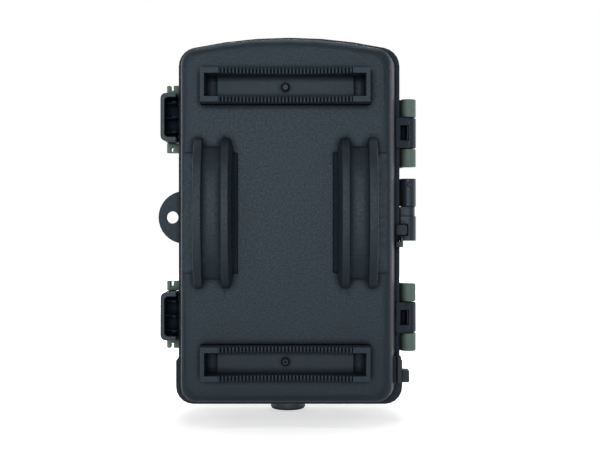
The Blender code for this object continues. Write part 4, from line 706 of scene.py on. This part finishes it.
def along_y(x, y, z):
    """Places a turned shape with its axis along +Y."""
    return Matrix.Translation((x, y, z)) @ Matrix.Rotation(-math.pi / 2, 4, "X")


def upright(x, y, z, turn=0.0):
    """Places a turned shape with its axis along +Z, or tipped about X."""
    return Matrix.Translation((x, y, z)) @ Matrix.Rotation(turn, 4, "X")


def dome(radius, base, rise, steps=8):
    """Quarter ellipse from its crown on the axis to its edge, as (radius, height) points."""
    turns = [math.pi / 2 * i / steps for i in range(steps + 1)]
    points = [(radius * math.sin(t), base + rise * math.cos(t)) for t in turns]
    return [(0.0, points[0][1])] + points[1:]


def carve(piece, cutter):
    """Cuts one piece with another, and keeps only the result."""
    modifier = piece.modifiers.new("carve", "BOOLEAN")
    modifier.operation = "DIFFERENCE"
    modifier.object = cutter
    modifier.solver = "EXACT"
    bpy.context.view_layer.update()
    evaluated = piece.evaluated_get(bpy.context.evaluated_depsgraph_get())
    result = bpy.data.meshes.new_from_object(evaluated)
    piece.modifiers.remove(modifier)
    piece.data = result
    bpy.data.objects.remove(cutter, do_unlink=True)


def cross_screw(node):
    """Pan head screw with a domed head and a cross recess, its head towards the back."""
    centre = middle(node)
    radius = radius_of(node)
    length = depth_of(node)
    crown_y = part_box(node)[0].y
    head = 0.45 * radius
    under = 1.3 * head
    shank = radius / 2
    profile = [(r, head - h) for r, h in dome(radius, 0.0, head)]
    profile += [(radius, under), (shank, under), (shank, length), (0.0, length)]
    place = along_y(centre.x, crown_y, centre.z)
    piece = turned_piece(node + "_piece", profile, place, PANEL_SCREW_SIDES, ["steel"])
    slot = 0.14 * radius
    reach = 0.62 * radius
    deep = 0.8 * head
    for half_x, half_z in ((slot, reach), (reach, slot)):
        near = (centre.x - half_x, crown_y - head, centre.z - half_z)
        far = (centre.x + half_x, crown_y + deep, centre.z + half_z)
        cutter = bmesh.new()
        block(cutter, near, far, RECESS_EDGE)
        carve(piece, link_mesh("recess", cutter, ["steel"]))
    seat(piece, node)


def sunk_screw(node, pit):
    """Round head screw sunk in its counterbore, head to the back: a gap about it and a pit in its middle,
    both in painted shade.
    """
    centre = middle(node)
    radius = radius_of(node)
    length = depth_of(node)
    head_r = 0.72 * radius
    gap = 0.5 * radius
    under = 0.6 * radius
    shank = radius / 2
    pit_r = pit * radius
    profile = [(0.0, pit_r), (0.9 * pit_r, pit_r), (pit_r, 0.0)]
    profile += [(0.85 * head_r, 0.0), (head_r, 0.15 * head_r), (head_r, gap)]
    profile += [(radius, gap), (radius, under), (shank, under), (shank, length), (0.0, length)]
    bands = [1, 1, 0, 0, 1, 1, 0, 0, 0, 0]
    # The second finish paints shade into the gap and the pit
    finishes = ["dark_steel", "deep_pocket"]
    place = along_y(centre.x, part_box(node)[0].y, centre.z)
    seat(turned_piece(node + "_piece", profile, place, GRIP_SCREW_SIDES, finishes, bands), node)


# Rear half

def nub_is_up(node):
    """Whether a cell's top end is narrow."""
    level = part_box(node)[1].z - 0.1 * MM
    narrow = 2 * radius_of(node) / 3
    centre = middle(node)
    top = [v.co for v in frame["nodes"][node].data.vertices if v.co.z > level]
    return max((point - centre).to_2d().length for point in top) < narrow


def battery_cell(node):
    """AA cell: plain sleeve with a pale band, crimped ends and a bright nub and foot."""
    low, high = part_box(node)
    half = (high.z - low.z) / 2
    radius = radius_of(node)
    lip = 0.4 * MM
    nub_r = 2.7 * MM
    groove_r = radius - 2.2 * MM
    rim_r = radius - 1.6 * MM
    foot_r = radius - 1.4 * MM
    dish_r = radius - 1.8 * MM
    crimp = 0.7 * MM
    shoulder = half - 1.2 * MM
    band_top = shoulder - 11.0 * MM
    band_low = band_top - 1.0 * MM
    profile = [(0.0, half), (nub_r - lip, half), (nub_r, half - lip), (nub_r, shoulder - lip)]
    profile += [(groove_r, shoulder - lip), (rim_r, shoulder)]
    profile += [(radius - crimp, shoulder), (radius, shoulder - crimp)]
    profile += [(radius, band_top), (radius, band_low)]
    profile += [(radius, lip - half), (radius - lip, -half), (foot_r, -half)]
    profile += [(dish_r, lip - half), (0.0, lip - half)]
    bands = [1, 1, 1, 1, 0, 0, 0, 0, 2, 0, 0, 0, 1, 1]
    finishes = ["cell_sleeve", "steel", "cell_band"]
    place = upright(*middle(node), 0.0 if nub_is_up(node) else math.pi)
    seat(turned_piece(node + "_piece", profile, place, CELL_SIDES, finishes, bands), node)


def wire(name, points, radius, finish):
    """A round wire with closed ends through a list of points."""
    curve = bpy.data.curves.new(name, "CURVE")
    curve.dimensions = "3D"
    curve.bevel_depth = radius
    curve.bevel_resolution = 3
    curve.use_fill_caps = True
    spline = curve.splines.new("POLY")
    spline.points.add(len(points) - 1)
    for target, point in zip(spline.points, points):
        target.co = (*point, 1.0)
    curve.materials.append(MATERIALS[finish])
    piece = bpy.data.objects.new(name, curve)
    bpy.context.scene.collection.objects.link(piece)
    return piece


def spring_route(x, y, start, end):
    """Conical spring from its plate to the flat end of its cell."""
    way = math.copysign(1.0, end - start)
    foot = start + way * 1.5 * SPRING_WIRE_R
    tip = end - way * SPRING_WIRE_R
    points = [(x + SPRING_BASE_R, y, start)]
    for i in range(SPRING_STEPS + 1):
        share = i / SPRING_STEPS
        turn = 2 * math.pi * SPRING_TURNS * share
        radius = SPRING_BASE_R + (SPRING_TIP_R - SPRING_BASE_R) * share
        rise = foot + (tip - foot) * share
        points.append((x + radius * math.cos(turn), y + radius * math.sin(turn), rise))
    return points


def contact_strip(node, plate_z):
    """Flat contact strip with a conical spring for each flat cell end that faces it."""
    low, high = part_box(node)
    cell_y = middle("battery_cell_1").y
    half = STRIP_THICK / 2
    near = (low.x, low.y, plate_z - half)
    far = (high.x, cell_y + STRIP_PAST_CELL, plate_z + half)
    builder = bmesh.new()
    block(builder, near, far, STRIP_EDGE)
    seat(link_mesh(node + "_piece", builder, ["steel"]), node)
    for number in range(1, CELLS + 1):
        cell = "battery_cell_%d" % number
        cell_low, cell_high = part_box(cell)
        flat = cell_low.z if nub_is_up(cell) else cell_high.z
        if abs(flat - plate_z) < SPRING_REACH:
            route = spring_route(middle(cell).x, cell_y, plate_z, flat)
            spring = wire("%s_spring_%d" % (node, number), route, SPRING_WIRE_R, "steel")
            seat(spring, node, False)


def contact_strips():
    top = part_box("top_contact_strip")[1].z
    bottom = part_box("bottom_contact_strip")[0].z
    contact_strip("top_contact_strip", top - STRIP_THICK / 2)
    contact_strip("middle_contact_strip", middle("middle_contact_strip").z)
    contact_strip("bottom_contact_strip", bottom + STRIP_THICK / 2)


def jack_pin():
    """Centre pin of the power jack."""
    low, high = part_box("dc_jack")
    centre = middle("dc_jack")
    radius = 0.9 * MM
    crown = 0.6 * MM
    foot = 1.0 * MM
    sunk = 0.6 * MM
    length = high.x - low.x - foot - sunk
    profile = dome(radius, length - crown, crown) + [(radius, 0.0), (0.0, 0.0)]
    place = along_x(low.x + foot, centre.y, centre.z)
    seat(turned_piece("dc_jack_pin", profile, place, THIN_SIDES, ["steel"]), "dc_jack", False)


def power_lead():
    """The lead's round jacket along the hinge axis, inside the conduit."""
    low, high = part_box("power_lead")
    centre = middle("power_lead")
    radius = radius_of("power_lead")
    end_r = 0.8 * radius
    chamfer = 0.2 * MM
    profile = [(0.0, high.z), (end_r, high.z), (radius, high.z - chamfer)]
    profile += [(radius, low.z + chamfer), (end_r, low.z), (0.0, low.z)]
    place = upright(centre.x, centre.y, 0.0)
    seat(turned_piece("power_lead_piece", profile, place, THIN_SIDES, ["rubber"]), "power_lead")


def conduit_screw():
    """Small screw in the upper barrel of the conduit."""
    low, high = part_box("conduit_upper")
    dip = 0.15 * MM
    dip_r = 0.25 * MM
    brim_r = 0.35 * MM
    radius = 0.85 * MM
    length = 0.8 * MM
    off_axis = 0.3 * MM
    proud = 0.25 * MM
    below_top = 2.2 * MM
    profile = [(0.0, dip), (dip_r, dip), (brim_r, 0.0), (radius - dip, 0.0)]
    profile += [(radius, dip), (radius, length), (0.0, length)]
    place = along_y(middle("power_lead").x + off_axis, low.y - proud, high.z - below_top)
    seat(turned_piece("conduit_screw", profile, place, THIN_SIDES, ["dark_steel"]), "conduit_upper", False)


def conduit_wiper():
    """Rubber ring that closes the gap between the two barrels of the conduit."""
    low_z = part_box("conduit_lower")[1].z
    high_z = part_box("conduit_upper")[0].z
    centre = middle("power_lead")
    inner = 1.1 * MM
    outer = 2.7 * MM
    gap = 0.04 * MM
    profile = [(inner, low_z + gap), (outer - gap, low_z + gap), (outer, low_z + 2 * gap)]
    profile += [(outer, high_z - 2 * gap), (outer - gap, high_z - gap), (inner, high_z - gap)]
    place = upright(centre.x, centre.y, 0.0)
    seat(turned_piece("conduit_wiper", profile, place, WIPER_SIDES, ["rubber"]), "conduit_lower", False)


def rear_half():
    for node in REAR_MOULDINGS:
        refine(node)
    for node, pit in GRIP_SCREW_PITS.items():
        sunk_screw(node, pit)
    for number in range(1, CELLS + 1):
        battery_cell("battery_cell_%d" % number)
    contact_strips()
    jack_pin()
    power_lead()
    conduit_screw()
    conduit_wiper()


# Front half

def led_board():
    """Board with round emitters in rows."""
    low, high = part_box("ir_led_board")
    centre = middle("ir_led_board")
    face = low.y + BOARD_THICK
    crown = high.y - face - LED_BODY
    profile = dome(LED_CROWN_R, LED_BODY, crown) + [(LED_R, LED_BODY), (LED_R, 0.0), (0.0, 0.0)]
    bands = [1] * (len(profile) - 1)
    columns, rows = LED_GRID
    builder = bmesh.new()
    block(builder, low, (high.x, face, high.z), EDGE)
    for column in range(columns):
        for row in range(rows):
            x = centre.x + (column - (columns - 1) / 2) * LED_PITCH
            z = centre.z + (row - (rows - 1) / 2) * LED_PITCH
            lathe(builder, profile, along_y(x, face, z), LED_SIDES, bands)
    seat(link_mesh("ir_led_board_piece", builder, ["circuit_board", "emitter"]), "ir_led_board")


def lens_barrel():
    """Lens tube with baffle steps inside."""
    centre = middle("lens_barrel")
    radius = radius_of("lens_barrel")
    length = depth_of("lens_barrel")
    lip = radius - 0.9 * MM
    chamfer = 0.2 * MM
    recess = 2.0 * MM
    throat = 0.6 * LENS_BORE
    climb = length - 5.5 * MM
    tread = 1.2 * MM
    profile = [(lip, length), (radius - chamfer, length), (radius, length - chamfer), (radius, 0.0)]
    profile += [(throat, 0.0), (throat, recess)]
    for i in range(LENS_BAFFLES):
        share = i / LENS_BAFFLES
        inner = LENS_BORE * (LENS_NARROW + LENS_FLARE * share)
        rise = recess + climb * share
        profile += [(inner, rise), (inner, rise + tread)]
    profile += [(LENS_BORE, length - recess), (lip, length - recess)]
    place = along_y(centre.x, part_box("lens_barrel")[0].y, centre.z)
    seat(turned_piece("lens_barrel_piece", profile, place, LENS_SIDES, ["black_plastic"]), "lens_barrel")


def lens_glass():
    """Domed front glass on the axis of the lens tube."""
    axis = middle("lens_barrel")
    radius = radius_of("lens_glass")
    edge = 1.0 * MM
    profile = dome(radius, edge, depth_of("lens_glass") - edge, steps=14) + [(radius, 0.0), (0.0, 0.0)]
    place = along_y(axis.x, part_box("lens_glass")[0].y, axis.z)
    seat(turned_piece("lens_glass_piece", profile, place, LENS_SIDES, ["clear_glass"]), "lens_glass")


def pir_dome():
    """Milky dome whose facets stand in rings, each a little proud of the seams between them."""
    centre = middle("pir_lens")
    radius = radius_of("pir_lens")
    lift = 1.5 * MM
    rise = depth_of("pir_lens") - lift
    turns = [math.radians(angle) for angle in DOME_RINGS]
    profile = [(radius, 0.0), (radius, lift)]
    profile += [(radius * math.sin(t), lift + rise * math.cos(t)) for t in turns]
    place = along_y(centre.x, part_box("pir_lens")[0].y, centre.z)
    builder = bmesh.new()
    rings = [turn_ring(builder, [point] * DOME_SIDES, place) for point in profile]
    skin(builder, rings[0], rings[1])
    facets = []
    for near, far in zip(rings[1:], rings[2:]):
        facets += skin(builder, near, far)
    facets.append(builder.faces.new(rings[-1]))
    bmesh.ops.recalc_face_normals(builder, faces=builder.faces[:])
    for edge, raised in ((DOME_SEAM, 0.0), (DOME_FACET_EDGE, DOME_FACET_RISE)):
        bmesh.ops.inset_individual(builder, faces=facets, thickness=edge, depth=raised)
    piece = link_mesh("pir_lens_piece", builder, ["milky_plastic"])
    piece.data.set_sharp_from_angle(angle=math.radians(DOME_SHARP_ANGLE))
    thicken = piece.modifiers.new("skin", "SOLIDIFY")
    thicken.thickness = DOME_SKIN
    thicken.offset = -1.0
    seat(piece, "pir_lens")


def screen():
    """Display with a dark active area inside a plain frame."""
    low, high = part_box("lcd_panel")
    window_low, window_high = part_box("screen_window")
    margin = 1.5 * MM
    proud = 0.08 * MM
    sunk = 0.4 * MM
    frame_edge = 0.3 * MM
    area_edge = 0.03 * MM
    area_low = (window_low.x + margin, low.y - proud, window_low.z + margin)
    area_high = (window_high.x - margin, low.y + sunk, window_high.z - margin)
    builder = bmesh.new()
    block(builder, low, high, frame_edge)
    block(builder, area_low, area_high, area_edge, 1)
    seat(link_mesh("lcd_panel_piece", builder, ["black_plastic", "screen"]), "lcd_panel")


def thread_row(step, rise):
    """One turn of the socket wall, as (radius, height) points that wind with the thread."""
    phases = [(step / THREAD_STEPS + i / SOCKET_SIDES) % 1.0 for i in range(SOCKET_SIDES)]
    depths = [THREAD_DEPTH * (1.0 - abs(2.0 * phase - 1.0)) for phase in phases]
    return [(SOCKET_R - depth, rise) for depth in depths]


def threaded_insert():
    """Brass insert with its tripod thread."""
    low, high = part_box("tripod_insert")
    centre = middle("tripod_insert")
    radius = radius_of("tripod_insert")
    chamfer = 0.3 * MM
    outside = ((radius, high.z), (radius, low.z + chamfer), (radius - chamfer, low.z))
    rows = [[point] * SOCKET_SIDES for point in outside]
    count = int(SOCKET_DEEP / THREAD_PITCH * THREAD_STEPS)
    rows += [thread_row(step, low.z + SOCKET_DEEP * step / count) for step in range(count + 1)]
    builder = bmesh.new()
    rings = [turn_ring(builder, row, upright(centre.x, centre.y, 0.0)) for row in rows]
    for near, far in zip(rings, rings[1:]):
        skin(builder, near, far)
    builder.faces.new(rings[0])
    builder.faces.new(rings[-1])
    seat(link_mesh("tripod_insert_piece", builder, ["brass"]), "tripod_insert")


def key_mark(node, corners, turn):
    """A raised flat mark on a key: an arrow with three corners, or a dot with many."""
    centre = middle(node)
    face_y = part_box(node)[0].y
    angles = [math.radians(turn + 360 * i / corners) for i in range(corners)]
    outline = [(centre.x + KEY_MARK_R * math.cos(a), centre.z + KEY_MARK_R * math.sin(a)) for a in angles]
    builder = bmesh.new()
    front = [builder.verts.new((x, face_y - KEY_MARK, z)) for x, z in outline]
    back = [builder.verts.new((x, face_y + KEY_MARK, z)) for x, z in outline]
    builder.faces.new(front)
    builder.faces.new(back)
    skin(builder, front, back)
    seat(link_mesh(node + "_mark", builder, ["mark"]), node, False)


def ridges(node, finish, low, high, count, span, half):
    """Grip ridges side by side along X on a slide or card, between two (y, z) corners."""
    centre = middle(node)
    builder = bmesh.new()
    for i in range(count):
        x = centre.x + (i - (count - 1) / 2) * span / (count - 1)
        block(builder, (x - half, *low), (x + half, *high), half / 3)
    seat(link_mesh(node + "_ridges", builder, [finish]), node, False)


def switch_ridges():
    face_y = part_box("mode_switch")[0].y
    centre_z = middle("mode_switch").z
    half = 1.6 * MM
    proud = 0.35 * MM
    sunk = 0.3 * MM
    low = (face_y - proud, centre_z - half)
    high = (face_y + sunk, centre_z + half)
    ridges("mode_switch", "button_plastic", low, high, count=3, span=2.4 * MM, half=0.3 * MM)


def card_ridges():
    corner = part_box("sd_card")[0]
    margin = 0.8 * MM
    length = 2.4 * MM
    proud = 0.12 * MM
    sunk = 0.2 * MM
    low = (corner.y - proud, corner.z + margin)
    high = (corner.y + sunk, corner.z + margin + length)
    ridges("sd_card", "card_plastic", low, high, count=9, span=14.0 * MM, half=0.35 * MM)


def usb_tongue():
    """Tongue inside the mouth of the USB port."""
    low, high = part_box("usb_port")
    centre = middle("usb_port")
    half_x = 2.4 * MM
    half_z = 0.4 * MM
    edge = 0.1 * MM
    behind_mouth = 1.0 * MM
    before_back = 2.0 * MM
    near = (centre.x - half_x, low.y + behind_mouth, centre.z - half_z)
    far = (centre.x + half_x, high.y - before_back, centre.z + half_z)
    builder = bmesh.new()
    block(builder, near, far, edge)
    seat(link_mesh("usb_tongue", builder, ["black_plastic"]), "usb_port", False)


def front_half():
    for node in FRONT_MOULDINGS:
        refine(node)
    for number in range(1, PANEL_SCREWS + 1):
        cross_screw("panel_screw_%d" % number)
    led_board()
    lens_barrel()
    lens_glass()
    pir_dome()
    screen()
    threaded_insert()
    for node, (corners, turn) in KEYS.items():
        refine(node)
        key_mark(node, corners, turn)
    switch_ridges()
    card_ridges()
    usb_tongue()


# Stage

def seen(tree):
    """1 for the rays that see the white ground, else 0."""
    paths = add_node(tree, "ShaderNodeLightPath")
    value = paths.outputs[SEEN_BY[0]]
    for kind in SEEN_BY[1:]:
        value = combine(tree, "MAXIMUM", value, paths.outputs[kind])
    return value


def white_world():
    """White all round where it is seen, and only a little light from it."""
    world = bpy.data.worlds.new("studio")
    bpy.context.scene.world = world
    world.use_nodes = True
    tree = world.node_tree
    sky = tree.nodes["Background"]
    sky.inputs["Color"].default_value = WHITE
    tree.links.new(vary(tree, seen(tree), WORLD_LIGHT, 1.0, (0.0, 1.0)), sky.inputs["Strength"])


def floor_finish():
    """White floor that fades into the world away from the object, and keeps the shadow near it."""
    material, tree, shader = new_material("floor_white")
    shader.inputs["Base Color"].default_value = FLOOR_COLOUR
    shader.inputs["Roughness"].default_value = FLOOR_ROUGHNESS
    shader.inputs["Specular IOR Level"].default_value = 0.0
    shader.inputs["Emission Color"].default_value = WHITE
    place = add_node(tree, "ShaderNodeTexCoord")
    reach = add_node(tree, "ShaderNodeVectorMath", operation="LENGTH")
    tree.links.new(place.outputs["Object"], reach.inputs[0])
    glow = vary(tree, reach.outputs["Value"], *FLOOR_GLOW, FLOOR_GLOW_REACH)
    tree.links.new(combine(tree, "MULTIPLY", glow, seen(tree)), shader.inputs["Emission Strength"])
    return material


def pale_floor():
    bpy.ops.mesh.primitive_circle_add(
        vertices=64,
        radius=FLOOR_R,
        fill_type="NGON",
        location=(0.0, 0.0, CAD_BOX[0].z),
    )
    floor = bpy.context.object
    floor.name = "floor"
    floor.data.materials.append(floor_finish())


def lamp(name, place, size, power):
    """Square soft lamp aimed at the object."""
    light = bpy.data.lights.new(name, "AREA")
    light.size = size
    light.energy = power
    lit = bpy.data.objects.new(name, light)
    lit.location = place
    lit.rotation_euler = (LAMP_AIM - Vector(place)).to_track_quat("-Z", "Y").to_euler()
    bpy.context.scene.collection.objects.link(lit)


def photo_camera():
    """Camera level with the back, looking along +Y."""
    camera = bpy.data.objects.new("camera", bpy.data.cameras.new("camera"))
    camera.data.sensor_width = SENSOR
    camera.data.lens = LENS
    camera.data.clip_start = CLIP_START
    camera.location = CAMERA_AT
    camera.rotation_euler = (math.pi / 2, 0.0, 0.0)
    bpy.context.scene.collection.objects.link(camera)
    bpy.context.scene.camera = camera


def stage():
    bpy.context.scene.view_settings.view_transform = "Standard"
    white_world()
    pale_floor()
    for name, (place, size, power) in LAMPS.items():
        lamp(name, place, size, power)
    photo_camera()


stage()
rear_half()
front_half()
